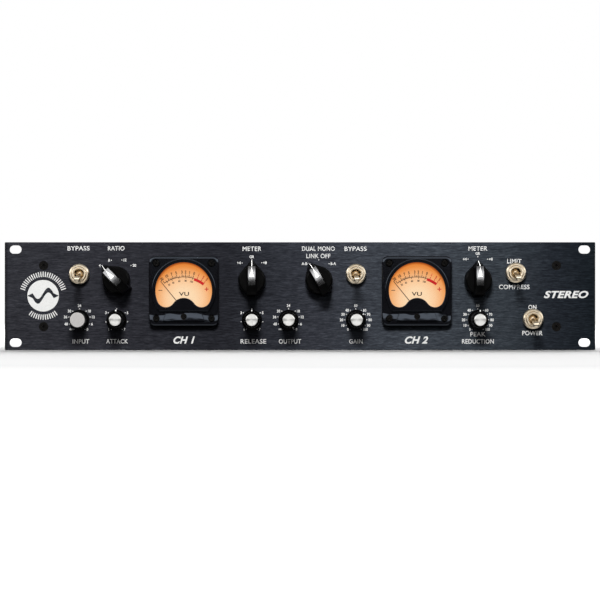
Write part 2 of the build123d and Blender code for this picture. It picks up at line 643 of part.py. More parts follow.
def meter_screw(at):
    """A pan-head screw with a cross recess."""
    seat = height(METER_PLATE_HEIGHT - 2.2)
    head_top = seat - 1.9
    points = [
        (0, 6.0),
        (M3_R, 6.0),
        (M3_R, seat),
        (METER_SCREW_HEAD_R, seat),
        (METER_SCREW_HEAD_R, head_top + 0.8),
        (METER_SCREW_HEAD_R - 0.8, head_top),
        (0, head_top),
    ]
    screw = turned(points)
    cross = block(-1.5, 1.5, head_top - 1, head_top + 1.1, -0.35, 0.35)
    screw -= [Rot(0, 25, 0) * cross, Rot(0, 115, 0) * cross]
    return Pos(at[0], 0, at[1]) * screw


# ---------------------------------------------------------------- chassis
def cover_screws(clearance=0.0, length=M3_LENGTH):
    """The countersunk screws of the top cover; turned over, those of the bottom plate."""
    screw = flat_head(M3_R, M3_HEAD_R, M3_HEAD_DEPTH, length, clearance)
    return [
        Pos(sx * CASE_SCREW_X, y, CHASSIS_HEIGHT / 2) * screw for sx in (-1, 1) for y in COVER_SCREW_YS
    ]


def rear_screws(clearance=0.0):
    """The countersunk screws of the rear panel."""
    screw = flat_head(M3_R, M3_HEAD_R, M3_HEAD_DEPTH, M3_LENGTH, clearance)
    return [
        Pos(sx * CASE_SCREW_X, CHASSIS_DEPTH, sz * 30.0) * Rot(-90, 0, 0) * screw
        for sx in (-1, 1)
        for sz in (-1, 1)
    ]


def turned_over(shapes):
    return [Rot(0, 180, 0) * shape for shape in shapes]


def vent_slots(x, y, columns, rows):
    """Rows of narrow cooling slots, as cutters through a cover."""
    pitch_x, pitch_y, length, width = 7.0, 34.0, 26.0, 2.6
    slot = extrude(Plane.XY * Rot(0, 0, 90) * SlotOverall(length, width), 100, both=True)
    return [
        Pos(x + (i - (columns - 1) / 2) * pitch_x, y + (j - (rows - 1) / 2) * pitch_y, 0) * slot
        for i in range(columns)
        for j in range(rows)
    ]


def cover():
    """A flat cover at the top; the bottom plate is the same piece with more holes."""
    half, top = CHASSIS_WIDTH / 2, CHASSIS_HEIGHT / 2
    return block(-half, half, COVER_GAP, CHASSIS_DEPTH, top - COVER_THICK, top)


def top_cover():
    plate = cover() - cover_screws(HOLE_GAP)
    return plate - vent_slots(TOROID_X, TOROID_Y, 12, 3) - vent_slots(BOARD_X, TOROID_Y, 20, 3)


def standoff_centres():
    half_x, half_y = BOARD_SIZE[0] / 2 - 6, BOARD_SIZE[1] / 2 - 6
    return [(BOARD_X + i * half_x, BOARD_Y + j * half_y) for i in (-1, 0, 1) for j in (-1, 1)]


def bottom_plate():
    plate = Rot(0, 180, 0) * cover() - turned_over(cover_screws(HOLE_GAP))
    plate -= vent_slots(-BOARD_X - 160, TOROID_Y, 10, 2)
    plate -= Pos(TOROID_X, TOROID_Y, FLOOR_Z) * Cylinder(M4_R + HOLE_GAP, 20)
    return plate


def side_plate(side):
    """A folded side with four inward flanges for the panels and covers."""
    outer, top = CHASSIS_WIDTH / 2, INSIDE_HALF_HEIGHT
    inner = outer - FLANGE
    t, end = SIDE_THICK, REAR_INNER_Y
    plate = block(outer - t, outer, 0, end, -top, top)
    plate += block(inner, outer, 0, t, -top, top)
    plate += block(inner, outer, end - t, end, -top, top)
    for sign in (-1, 1):
        z0, z1 = sorted((sign * top, sign * (top - t)))
        plate += block(inner, outer, 0, end, z0, z1)
    if side < 0:
        plate = mirror(plate, Plane.YZ)
    holes = cover_screws(HOLE_GAP) + turned_over(cover_screws(HOLE_GAP)) + rear_screws(HOLE_GAP)
    holes += [panel_screw(c, HOLE_GAP) for c in panel_screw_centres()]
    return plate - holes


def rear_panel():
    half, top = CHASSIS_WIDTH / 2, INSIDE_HALF_HEIGHT
    panel = block(-half, half, REAR_INNER_Y, CHASSIS_DEPTH, -top, top)
    y = (REAR_INNER_Y, CHASSIS_DEPTH)
    cuts = rear_screws(HOLE_GAP)
    for x in XLR_INPUT_XS + XLR_OUTPUT_XS:
        cuts.append(rod(XLR_BARREL_R + HOLE_GAP, *y, (x, CONNECTOR_Z)))
        cuts += [rod(M3_R + HOLE_GAP, *y, c) for c in xlr_screw_centres(x)]
    cuts += [rod(JACK_BUSH_R + HOLE_GAP, *y, (x, CONNECTOR_Z)) for x in JACK_XS]
    inlet = RectangleRounded(INLET_CASE[0] + 0.4, INLET_CASE[1] + 0.4, 1.5)
    cuts.append(slab(Pos(INLET_X, CONNECTOR_Z) * inlet, *y))
    for side in (-1, 1):
        cuts.append(rod(M3_R + HOLE_GAP, *y, (INLET_X + side * INLET_SCREW_HALF, CONNECTOR_Z)))
    return panel - cuts


# ---------------------------------------------------------------- rear connectors
def xlr_screw_centres(x):
    half_x, half_z = 9.5, 12.0
    return [(x - half_x, CONNECTOR_Z + half_z), (x + half_x, CONNECTOR_Z - half_z)]


def xlr_pin_centres():
    """The three contacts as the rear panel shows them, two above and one below."""
    return [
        (XLR_PIN_CIRCLE * math.sin(math.radians(a)), XLR_PIN_CIRCLE * math.cos(math.radians(a)))
        for a in (-62, 62, 180)
    ]


def xlr_shell():
    """The flange and barrel shared by both kinds of connector, at x 0."""
    face = CHASSIS_DEPTH
    flange = RectangleRounded(*XLR_FLANGE, 3.0)
    shell = slab(flange, face, face + XLR_FLANGE_THICK)
    shell = chamfer(shell.faces().sort_by(Axis.Y)[-1].outer_wire().edges(), 0.6)
    shell += rod(XLR_BARREL_R, face - XLR_DEPTH, face)
    for x, z in xlr_screw_centres(0):
        shell -= rod(M3_R + HOLE_GAP, face, face + XLR_FLANGE_THICK, (x, z - CONNECTOR_Z))
        shell -= turned(
            [
                (0, face + XLR_FLANGE_THICK + 1),
                (M3_HEAD_R + HOLE_GAP, face + XLR_FLANGE_THICK + 1),
                (M3_HEAD_R + HOLE_GAP, face + XLR_FLANGE_THICK),
                (M3_R + HOLE_GAP, face + XLR_FLANGE_THICK - M3_HEAD_DEPTH),
                (0, face + XLR_FLANGE_THICK - M3_HEAD_DEPTH),
            ],
            (x, z - CONNECTOR_Z),
        )
    return shell


def xlr_input(x):
    """A female connector: a ring-shaped slot round an insert with three sockets and a key slot."""
    mouth = CHASSIS_DEPTH + XLR_FLANGE_THICK
    ring = Circle(XLR_OPEN_R) - Circle(XLR_INSERT_R)
    shell = xlr_shell() - slab(ring, mouth - XLR_RING_GAP_DEPTH, mouth)
    shell -= block(-1.6, 1.6, mouth - 4, mouth, XLR_OPEN_R - 0.5, XLR_OPEN_R + 1.2)
    shell -= [rod(XLR_SOCKET_R, mouth - 10, mouth, c) for c in xlr_pin_centres()]
    return Pos(x, 0, CONNECTOR_Z) * shell


def xlr_output(x):
    """A male connector: an open shell with three pins on its floor."""
    mouth = CHASSIS_DEPTH + XLR_FLANGE_THICK
    shell = xlr_shell() - rod(XLR_OPEN_R, mouth - XLR_MALE_CAVITY, mouth)
    for c in xlr_pin_centres():
        shell += rod(XLR_PIN_R, mouth - XLR_MALE_CAVITY, mouth - 1.5, c)
    return Pos(x, 0, CONNECTOR_Z) * shell


def xlr_screws():
    """The flange screws of the four connectors."""
    face = CHASSIS_DEPTH + XLR_FLANGE_THICK
    screw = flat_head(M3_R, M3_HEAD_R, M3_HEAD_DEPTH, 8.0)
    centres = [c for x in XLR_INPUT_XS + XLR_OUTPUT_XS for c in xlr_screw_centres(x)]
    return [Pos(x, face, z) * Rot(-90, 0, 0) * screw for x, z in centres]


def jack_socket(x):
    """A quarter-inch jack: square case inside, threaded bush through the rear panel."""
    mouth = CHASSIS_DEPTH + JACK_BUSH_OUT
    width, depth, tall = JACK_CASE
    case = block(-width / 2, width / 2, REAR_INNER_Y - depth, REAR_INNER_Y, -tall / 2, tall / 2)
    case += rod(JACK_BUSH_R, REAR_INNER_Y, mouth)
    case = chamfer(case.faces().sort_by(Axis.Y)[-1].outer_wire().edges(), 0.4)
    case -= rod(JACK_BORE_R, mouth - JACK_BORE_LENGTH, mouth)
    return Pos(x, 0, CONNECTOR_Z) * case


def power_inlet():
    """A mains inlet with three blades in an open cavity, held by two screws."""
    face = CHASSIS_DEPTH
    mouth = face + INLET_FLANGE_THICK
    wings = RectangleRounded(*INLET_FLANGE, 6.0)
    body = slab(wings, face, mouth)
    body = chamfer(body.faces().sort_by(Axis.Y)[-1].outer_wire().edges(), 0.7)
    body += slab(RectangleRounded(*INLET_CASE, 1.3), face - INLET_CASE_DEPTH, face)
    wide, tall = INLET_CAVITY
    corner = 4.5
    # The cavity has two cut corners below, as the plug does.
    cavity = Polyline(
        (-wide / 2, tall / 2),
        (wide / 2, tall / 2),
        (wide / 2, -tall / 2 + corner),
        (wide / 2 - corner, -tall / 2),
        (-wide / 2 + corner, -tall / 2),
        (-wide / 2, -tall / 2 + corner),
        close=True,
    )
    body -= slab(make_face(cavity), mouth - INLET_CAVITY_DEPTH, mouth)
    for x, z in ((-7.0, 2.0), (7.0, 2.0), (0.0, -2.6)):
        body += block(
            x - 1, x + 1, mouth - INLET_CAVITY_DEPTH - 1, mouth - 2.5, z - 2, z + 2
        )
    for side in (-1, 1):
        body -= rod(M3_R + HOLE_GAP, face, mouth, (side * INLET_SCREW_HALF, 0))
    return Pos(INLET_X, 0, CONNECTOR_Z) * body


def inlet_screws():
    """Two pan-head screws on the inlet's wings."""
    seat = CHASSIS_DEPTH + INLET_FLANGE_THICK
    points = [
        (0, seat - 9),
        (M3_R, seat - 9),
        (M3_R, seat),
        (M3_HEAD_R, seat),
        (M3_HEAD_R, seat + 1.0),
        (M3_HEAD_R - 0.8, seat + 1.8),
        (0, seat + 1.8),
    ]
    cross = block(-1.5, 1.5, seat + 0.8, seat + 3, -0.35, 0.35)
    screw = turned(points) - [cross, Rot(0, 90, 0) * cross]
    return [Pos(INLET_X + side * INLET_SCREW_HALF, 0, CONNECTOR_Z) * screw for side in (-1, 1)]


# ---------------------------------------------------------------- inside
def circuit_board():
    width, depth, thick = BOARD_SIZE
    board = Pos(BOARD_X, BOARD_Y, BOARD_Z + thick / 2) * Box(width, depth, thick)
    return board - [Pos(x, y, BOARD_Z) * Cylinder(M3_R + HOLE_GAP, 20) for x, y in standoff_centres()]


def on_board(x, y, tall, shape):
    """Stands a shape of the given height on the board."""
    return Pos(BOARD_X + x, BOARD_Y + y, BOARD_Z + BOARD_SIZE[2] + tall / 2) * shape


def board_components():
    """Audio transformers, optical cells, capacitors, relays, regulators and chips."""
    pieces = [on_board(-126 + 34 * i, 34, 30, Box(26, 26, 30)) for i in range(4)]
    pieces += [on_board(-120 + 40 * i, -8, 22, Cylinder(11, 22)) for i in range(2)]
    pieces += [on_board(60 + 22 * i, y, 25, Cylinder(8, 25)) for i in range(4) for y in (18, 40)]
    pieces += [on_board(-60 + 22 * i, -30, 10, Box(15, 7.5, 10)) for i in range(5)]
    pieces += [on_board(-40 + 20 * i, -4, 4, Box(7, 10, 4)) for i in range(8)]
    pieces += [on_board(74 + 24 * i, -18, 20, Box(10, 4.5, 20)) for i in range(3)]
    return pieces


def power_transformer():
    """A toroid on a rubber pad, with its dished washer and centre bolt."""
    pad_top = FLOOR_Z + 2.0
    top = pad_top + TOROID_HEIGHT
    at = Pos(TOROID_X, TOROID_Y, 0)

    def ring(outer, inner, low, high):
        return at * Pos(0, 0, (low + high) / 2) * (
            Cylinder(outer, high - low) - Cylinder(inner, high - low)
        )

    winding = ring(TOROID_R, TOROID_HOLE_R, pad_top, top)
    winding = fillet(winding.edges().filter_by(GeomType.CIRCLE), 5.0)
    pad = ring(TOROID_R - 6, M4_R + HOLE_GAP, FLOOR_Z, pad_top)
    washer = ring(TOROID_R - 8, M4_R + HOLE_GAP, top, top + 1.5)
    bolt_low, bolt_top = -CHASSIS_HEIGHT / 2 + 0.2, top + 1.5
    bolt = at * Pos(0, 0, (bolt_low + bolt_top) / 2) * Cylinder(M4_R, bolt_top - bolt_low)
    head = at * Pos(0, 0, bolt_top + 1.4) * Cylinder(4.0, 2.8)
    return [winding, pad, washer, bolt + head]


def nuts_and_standoffs():
    """The hexagon nuts that hold controls, meters and jacks, and the board's standoffs and screws."""
    pieces = [hexagon_nut(10, POT_BUSH_R + 0.02, FRONT - 2.2, FRONT, c) for c in POTS.values()]
    pieces += [hexagon_nut(14, ROTARY_BUSH_R + 0.02, FRONT - 2.4, FRONT, c) for c in ROTARIES.values()]
    pieces += [hexagon_nut(15, BUSH_R + 0.02, 0, 2.4, c) for c in TOGGLES.values()]
    for meter in METERS.values():
        pieces += [hexagon_nut(5.5, M3_R + 0.02, 0, 2.4, c) for c in meter_screw_centres(meter)]
    for x in JACK_XS:
        at = (x, CONNECTOR_Z)
        pieces.append(
            hexagon_nut(13, JACK_BUSH_R + 0.02, CHASSIS_DEPTH + 0.6, CHASSIS_DEPTH + 3.2, at)
        )
        washer = Circle(7.4) - Circle(JACK_BUSH_R + 0.05)
        pieces.append(slab(Pos(*at) * washer, CHASSIS_DEPTH, CHASSIS_DEPTH + 0.6))
    for x, y in standoff_centres():
        post = extrude(RegularPolygon(2.75, 6, major_radius=False), BOARD_Z - FLOOR_Z)
        board_top = BOARD_Z + BOARD_SIZE[2]
        screw = Pos(0, 0, (BOARD_Z + board_top) / 2) * Cylinder(M3_R, BOARD_SIZE[2])
        screw += Pos(0, 0, board_top + 0.9) * Cylinder(M3_HEAD_R, 1.8)
        pieces += [Pos(x, y, FLOOR_Z) * post, Pos(x, y, 0) * screw]
    return pieces


# ---------------------------------------------------------------- write every sub-part
def main():
    os.makedirs("parts", exist_ok=True)
    write("front_panel", front_panel())

    for name in POTS:
        write(f"{name}_knob", round_knob(name))
        write(f"{name}_knob_cap", knob_cap(name))
        write(f"{name}_shaft", pot_shaft(name))
    write("potentiometer_bodies", [pot_body(c) for c in POTS.values()])

    knob, inlay, shaft = pointer_knob_body(), pointer_inlay(), rotary_shaft()
    for name, at in ROTARIES.items():
        angle = POINTER_ANGLE[name]
        write(f"{name}_knob", turn_to(angle, at, knob))
        write(f"{name}_knob_inlay", turn_to(angle, at, inlay))
        write(f"{name}_shaft", [turn_to(angle, at, piece) for piece in shaft])

    for name, at in TOGGLES.items():
        write(f"{name}_lever", toggle_lever(at))
    bushes = [toggle_bush(c) for c in TOGGLES.values()] + [dress_nut(c) for c in TOGGLES.values()]
    write("toggle_bushes_and_nuts", bushes)
    switch_cases = [rotary_body(c) for c in ROTARIES.values()]
    switch_cases += [toggle_case(c) for c in TOGGLES.values()]
    write("switch_bodies", switch_cases)

    meters = {side: Pos(x, 0, z) for side, (x, z) in METERS.items()}
    for node, make in {
        "vu_cases": meter_case,
        "vu_bezels": meter_bezel,
        "vu_lenses": meter_lens,
        "vu_dials": meter_dial,
        "vu_movements": meter_movement,
    }.items():
        piece = make()
        write(node, [place * piece for place in meters.values()])
    needle, adjuster = meter_needle(), zero_screw()
    for side, place in meters.items():
        write(f"vu_needle_{side}", place * needle)
        write(f"vu_zero_screw_{side}", place * adjuster)
    write("vu_screws", [meter_screw(c) for m in METERS.values() for c in meter_screw_centres(m)])

    write("top_cover", top_cover())
    write("bottom_plate", bottom_plate())
    write("side_plates", [side_plate(-1), side_plate(1)])
    write("rear_panel", rear_panel())
    case_screws = [panel_screw(c) for c in panel_screw_centres()]
    case_screws += cover_screws() + turned_over(cover_screws()) + rear_screws()
    case_screws += xlr_screws() + inlet_screws()
    write("case_screws", case_screws)
    write("nuts_and_standoffs", nuts_and_standoffs())

    write("circuit_board", circuit_board())
    write("board_components", board_components())
    write("power_transformer", power_transformer())
    write("power_inlet", power_inlet())
    xlrs = [xlr_input(x) for x in XLR_INPUT_XS] + [xlr_output(x) for x in XLR_OUTPUT_XS]
    write("xlr_connectors", xlrs)
    write("jack_sockets", [jack_socket(x) for x in JACK_XS])


main()
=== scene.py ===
import json
import math

import bpy
import bmesh
from mathutils import Matrix, Vector


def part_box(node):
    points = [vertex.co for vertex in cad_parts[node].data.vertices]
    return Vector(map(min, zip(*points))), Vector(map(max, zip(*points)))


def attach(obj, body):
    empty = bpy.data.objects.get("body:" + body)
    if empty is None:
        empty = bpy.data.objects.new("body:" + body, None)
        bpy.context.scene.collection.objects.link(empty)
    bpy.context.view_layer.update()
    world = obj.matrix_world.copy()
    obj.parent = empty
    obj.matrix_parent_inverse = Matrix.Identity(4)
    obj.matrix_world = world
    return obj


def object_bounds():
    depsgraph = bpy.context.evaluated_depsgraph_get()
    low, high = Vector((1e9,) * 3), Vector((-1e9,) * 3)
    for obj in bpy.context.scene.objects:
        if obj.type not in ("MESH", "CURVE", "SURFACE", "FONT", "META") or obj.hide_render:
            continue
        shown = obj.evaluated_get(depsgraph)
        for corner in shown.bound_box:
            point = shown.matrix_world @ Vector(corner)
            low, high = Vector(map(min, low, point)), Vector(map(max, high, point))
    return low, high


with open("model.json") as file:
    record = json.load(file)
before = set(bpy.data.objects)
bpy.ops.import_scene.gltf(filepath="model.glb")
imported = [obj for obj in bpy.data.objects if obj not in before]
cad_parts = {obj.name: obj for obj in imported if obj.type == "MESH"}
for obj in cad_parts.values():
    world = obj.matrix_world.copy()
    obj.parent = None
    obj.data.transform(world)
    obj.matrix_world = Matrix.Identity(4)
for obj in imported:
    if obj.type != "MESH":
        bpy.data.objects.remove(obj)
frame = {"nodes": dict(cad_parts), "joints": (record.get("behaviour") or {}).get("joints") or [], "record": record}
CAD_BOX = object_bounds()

# The looks of a two-unit rack compressor, built on its CAD frame. Lengths are in metres unless a
# name ends in _MM. The panel faces -Y, +X is to its right and +Z is up.

MM = 0.001
RECORD = frame["record"]
JOINTS = {joint["child"]: joint for joint in frame["joints"]}
PANEL_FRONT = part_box("front_panel")[0].y
INK_THICK = 0.03 * MM

POTS = ("input", "attack", "release", "output", "gain", "peak_reduction")
TOGGLES = ("bypass_left", "bypass_right", "mode", "power")
ROTARIES = ("ratio", "meter_left", "link", "meter_right")
METER_SIDES = ("left", "right")


def axis_of(body):
    """The (x, z) of a control's axis."""
    place = JOINTS[body]["pos_m"]
    return Vector((place[0], place[2]))


def pot_at(name):
    return axis_of(f"{name}_control")


def rotary_at(name):
    return axis_of(f"{name}_switch")


def toggle_at(name):
    return axis_of(f"{name}_toggle")


# The meters' centres stand this far above their needles' pivots.
NEEDLE_PIVOT_DROP = Vector((0, 15.6 * MM))
METERS = {side: axis_of(f"vu_pointer_{side}") + NEEDLE_PIVOT_DROP for side in METER_SIDES}


def rest_angle(body):
    """Where a control's pointer stands at rest, in radians clockwise from the top.

    The travel of every control is even about the top.
    """
    low, high = JOINTS[body]["range_deg"]
    return math.radians(-(low + high) / 2)


# ---------------------------------------------------------------- node helpers
class Material:
    """A node material under construction: a Principled shader, and short calls for its nodes."""

    def __init__(self, name, **sockets):
        self.material = bpy.data.materials.new(name)
        self.material.use_nodes = True
        self.nodes = self.material.node_tree.nodes
        self.links = self.material.node_tree.links
        self.shader = self.nodes["Principled BSDF"]
        self.coordinates = self.nodes.new("ShaderNodeTexCoord").outputs["Object"]
        for socket, value in sockets.items():
            self.shader.inputs[socket.replace("_", " ")].default_value = value

    def link(self, output, socket):
        self.links.new(output, self.shader.inputs[socket])

    def stretched(self, scale):
        """Coordinates multiplied by scale, to stretch a texture."""
        node = self.nodes.new("ShaderNodeMapping")
        node.inputs["Scale"].default_value = scale
        self.links.new(self.coordinates, node.inputs["Vector"])
        return node.outputs["Vector"]

    def noise(self, scale, detail, roughness=0.6, vector=None):
        node = self.nodes.new("ShaderNodeTexNoise")
        node.inputs["Scale"].default_value = scale
        node.inputs["Detail"].default_value = detail
        node.inputs["Roughness"].default_value = roughness
        self.links.new(vector or self.coordinates, node.inputs["Vector"])
        return node.outputs["Fac"]

    def ramp(self, factor, *stops):
        """A colour ramp through (position, colour) stops."""
        node = self.nodes.new("ShaderNodeValToRGB")
        elements = node.color_ramp.elements
        while len(elements) < len(stops):
            elements.new(0.5)
        for element, (position, colour) in zip(elements, stops):
            element.position = position
            element.color = (*colour, 1.0)
        self.links.new(factor, node.inputs["Fac"])
        return node.outputs["Color"]

    def math(self, operation, *operands):
        """A Math node; operands are outputs or numbers."""
        node = self.nodes.new("ShaderNodeMath")
        node.operation = operation
        for socket, operand in zip(node.inputs, operands):
            if isinstance(operand, (int, float)):
                socket.default_value = operand
            else:
                self.links.new(operand, socket)
        return node.outputs["Value"]

    def multiplied(self, first, second):
        """One colour, an output or a tuple, times another."""
        node = self.nodes.new("ShaderNodeMix")
        node.data_type = "RGBA"
        node.blend_type = "MULTIPLY"
        # A Mix node has a set of sockets for each data type: these are its factor and its colours.
        factor, colour_a, colour_b = node.inputs[0], node.inputs[6], node.inputs[7]
        factor.default_value = 1.0
        for socket, value in ((colour_a, first), (colour_b, second)):
            if isinstance(value, tuple):
                socket.default_value = (*value, 1.0)
            else:
                self.links.new(value, socket)
        return node.outputs[2]

    def spread(self, factor, low, high):
        """Maps 0..1 to low..high."""
        node = self.nodes.new("ShaderNodeMapRange")
        node.inputs["To Min"].default_value = low
        node.inputs["To Max"].default_value = high
        self.links.new(factor, node.inputs["Value"])
        return node.outputs["Result"]

    def axes(self, source=None):
        """The separate x, y and z of a vector."""
        node = self.nodes.new("ShaderNodeSeparateXYZ")
        self.links.new(source or self.coordinates, node.inputs["Vector"])
        return node.outputs["X"], node.outputs["Y"], node.outputs["Z"]

    def bump(self, height, distance, strength=1.0):
        node = self.nodes.new("ShaderNodeBump")
        node.inputs["Strength"].default_value = strength
        node.inputs["Distance"].default_value = distance
        self.links.new(height, node.inputs["Height"])
        self.link(node.outputs["Normal"], "Normal")

    def radial_tangent(self):
        """Turns the anisotropic highlight round the Y axis, as on a face turned on a lathe."""
        node = self.nodes.new("ShaderNodeTangent")
        node.direction_type = "RADIAL"
        node.axis = "Y"
        self.link(node.outputs["Tangent"], "Tangent")


# ---------------------------------------------------------------- materials
# Painted light and shade along the panel, as tints of its colour by x: brightest right of the middle, darker
# towards both ends, with a painted shaded strip at the left edge: (x in millimetres, tint).
PANEL_SPAN_MM = 500
PANEL_PAINTED_LIGHT = (
    (-240.6, (0.25, 0.25, 0.25)),
    (-239.6, (1.08, 1.06, 1.08)),
    (-165, (1.00, 0.98, 1.02)),
    (-60, (0.66, 0.66, 0.70)),
    (-15, (0.95, 0.99, 1.05)),
    (10, (1.24, 1.28, 1.36)),
    (90, (1.74, 1.92, 1.98)),
    (165, (1.34, 1.54, 1.58)),
    (205, (0.60, 0.70, 0.78)),
    (240, (0.32, 0.42, 0.46)),
)


def brushed_panel():
    """Black anodised aluminium with a fine horizontal grain, and painted light and shade along its length."""
    m = Material("brushed_black_panel", Specular_IOR_Level=0.008)
    fine = m.noise(1.0, 3.0, 0.7, m.stretched((230, 1200, 2000)))
    coarse = m.noise(1.0, 3.0, 0.6, m.stretched((105, 560, 950)))
    grain = m.math("ADD", m.math("MULTIPLY", fine, 0.65), m.math("MULTIPLY", coarse, 0.35))
    dark, middle, light = (0.010, 0.0105, 0.013), (0.021, 0.022, 0.026), (0.040, 0.042, 0.049)
    streaks = m.ramp(grain, (0.36, dark), (0.52, middle), (0.68, light))
    # Painted light and shade: the grain's colour is scaled by the tints along x.
    along = m.math("ADD", m.math("MULTIPLY", m.axes()[0], 1 / (PANEL_SPAN_MM * MM)), 0.5)
    # The ramp holds at most 1, so its colours are halved here and the product doubled.
    stops = [(x / PANEL_SPAN_MM + 0.5, tuple(c / 2 for c in colour)) for x, colour in PANEL_PAINTED_LIGHT]
    painted_light = m.ramp(along, *stops)
    m.link(m.multiplied(m.multiplied(streaks, painted_light), (2.0, 2.0, 2.0)), "Base Color")
    m.link(m.spread(grain, 0.36, 0.5), "Roughness")
    m.bump(grain, 0.02 * MM, 0.5)
    return m.material


def white_ink():
    """Silk-screened white ink with a little unevenness."""
    m = Material("white_screen_ink", Roughness=0.55)
    cover = m.noise(1400, 3)
    m.link(m.ramp(cover, (0.3, (0.52, 0.52, 0.51)), (0.6, (0.62, 0.62, 0.61))), "Base Color")
    m.bump(cover, 0.005 * MM, 0.5)
    return m.material


def dial_ink(name, dark, light):
    """Printed ink on the dial card."""
    m = Material(name, Roughness=0.7)
    m.link(m.ramp(m.noise(1800, 2), (0.35, dark), (0.7, light)), "Base Color")
    return m.material


def knob_plastic():
    """Black moulded knob with a fine satin surface."""
    m = Material("knob_plastic", Specular_IOR_Level=0.045)
    skin = m.noise(2600, 3)
    wear = m.noise(160, 4, 0.55)
    m.link(m.ramp(wear, (0.35, (0.0008, 0.0008, 0.0008)), (0.7, (0.002, 0.002, 0.002))), "Base Color")
    m.link(m.spread(wear, 0.24, 0.36), "Roughness")
    m.bump(skin, 0.008 * MM, 0.4)
    return m.material


def pointer_paint():
    """White paint in a knob's pointer line."""
    m = Material("pointer_paint", Roughness=0.45)
    m.link(m.ramp(m.noise(1500, 2), (0.3, (0.74, 0.74, 0.72)), (0.7, (0.88, 0.88, 0.86))), "Base Color")
    return m.material


def turned_aluminium():
    """Bare aluminium faced on a lathe, with fine rings and a bow-tie highlight."""
    m = Material("turned_aluminium", Metallic=1.0, Anisotropic=0.95, Anisotropic_Rotation=0.25)
    tone = m.noise(700, 3)
    m.link(m.ramp(tone, (0.3, (0.84, 0.83, 0.80)), (0.7, (0.95, 0.94, 0.91))), "Base Color")
    m.link(m.spread(m.noise(2500, 2), 0.31, 0.36), "Roughness")
    m.radial_tangent()
    return m.material


def blasted_aluminium():
    """Bead-blasted aluminium with a fine sparkle."""
    m = Material("blasted_aluminium", Metallic=0.85)
    speck = m.noise(1500, 4, 0.7)
    m.link(m.ramp(speck, (0.32, (0.50, 0.485, 0.47)), (0.62, (0.62, 0.60, 0.585))), "Base Color")
    m.link(m.spread(speck, 0.5, 0.66), "Roughness")
    m.bump(speck, 0.02 * MM, 0.5)
    return m.material


def brushed_inlay():
    """Aluminium strip with a dull brushed ground."""
    m = Material("brushed_inlay", Metallic=1.0)
    grain = m.noise(1.0, 3, 0.6, m.stretched((2200, 400, 900)))
    m.link(m.ramp(grain, (0.3, (0.18, 0.18, 0.185)), (0.7, (0.30, 0.30, 0.305))), "Base Color")
    m.link(m.spread(grain, 0.16, 0.3), "Roughness")
    m.bump(grain, 0.01 * MM, 0.5)
    return m.material


def satin_nickel():
    """Warm nickel plate with faint turning marks."""
    m = Material("satin_nickel", Metallic=1.0)
    marks = m.noise(1.0, 3, 0.6, m.stretched((900, 3800, 900)))
    stain = m.noise(220, 3)
    m.link(m.ramp(stain, (0.3, (0.74, 0.62, 0.45)), (0.7, (0.86, 0.76, 0.60))), "Base Color")
    m.link(m.spread(marks, 0.26, 0.4), "Roughness")
    m.bump(marks, 0.004 * MM, 0.2)
    return m.material


def zinc_plate():
    """Bright zinc-plated steel with cloudy patches."""
    m = Material("zinc_plate", Metallic=1.0)
    cloud = m.noise(260, 5, 0.65)
    m.link(m.ramp(cloud, (0.3, (0.45, 0.46, 0.47)), (0.7, (0.68, 0.69, 0.68))), "Base Color")
    m.link(m.spread(cloud, 0.22, 0.42), "Roughness")
    m.bump(m.noise(1800, 2), 0.004 * MM, 0.4)
    return m.material


# The swelling under a meter's window: its top edge below the meter's centre, how uneven that edge
# is, how far the swelling reaches down, its slope, the height of its waves, and how soon they start.
CHIN_TOP_MM, CHIN_RAGGED_MM, CHIN_REACH_MM = -18.5, 9.0, 5.5
CHIN_SLOPE, CHIN_WAVE, CHIN_ONSET = 0.036, 0.3, 0.25


def polished_black():
    """Glossy black moulding, wavy where it swells out into the chin under the window."""
    m = Material("polished_black", IOR=1.5, Specular_Tint=(0.70, 0.82, 1.0, 1.0))
    dust = m.noise(2400, 2)
    m.link(m.ramp(dust, (0.4, (0.0015, 0.0015, 0.002)), (0.75, (0.004, 0.004, 0.005))), "Base Color")
    m.link(m.spread(m.noise(140, 2), 0.06, 0.12), "Roughness")
    up = m.math("DIVIDE", m.math("SUBTRACT", m.axes()[2], METERS["left"].y), MM)
    ripple = m.noise(1.0, 1.0, 0.5, m.stretched((60, 60, 90)))
    edge = m.math("ADD", m.math("MULTIPLY", ripple, CHIN_RAGGED_MM), CHIN_TOP_MM - CHIN_RAGGED_MM / 2)
    below = m.math("MINIMUM", m.math("MAXIMUM", m.math("SUBTRACT", edge, up), 0.0), CHIN_REACH_MM)
    wave = m.math("MULTIPLY", ripple, CHIN_WAVE)
    onset = m.math("MINIMUM", m.math("MULTIPLY", below, CHIN_ONSET), 1.0)
    swell = m.math("MULTIPLY", onset, wave)
    m.bump(m.math("ADD", m.math("MULTIPLY", below, CHIN_SLOPE), swell), MM, 1.0)
    return m.material


def black_moulding(name, tone=0.014):
    """Matt black engineering plastic with a spark-eroded grain."""
    m = Material(name, IOR=1.48)
    grain = m.noise(1900, 4, 0.7)
    low, high = (tone * 0.7,) * 3, (tone * 1.5,) * 3
    m.link(m.ramp(grain, (0.35, low), (0.7, high)), "Base Color")
    m.link(m.spread(grain, 0.38, 0.58), "Roughness")
    m.bump(grain, 0.02 * MM, 0.5)
    return m.material


def powder_coat():
    """Fine textured black powder coat on steel."""
    m = Material("powder_coat", Specular_IOR_Level=0.14)
    texture = m.noise(1200, 5, 0.7)
    m.link(m.ramp(texture, (0.35, (0.004, 0.004, 0.0045)), (0.7, (0.012, 0.012, 0.013))), "Base Color")
    m.link(m.spread(m.noise(60, 4, 0.6), 0.46, 0.54), "Roughness")
    m.bump(texture, 0.05 * MM, 0.7)
    return m.material


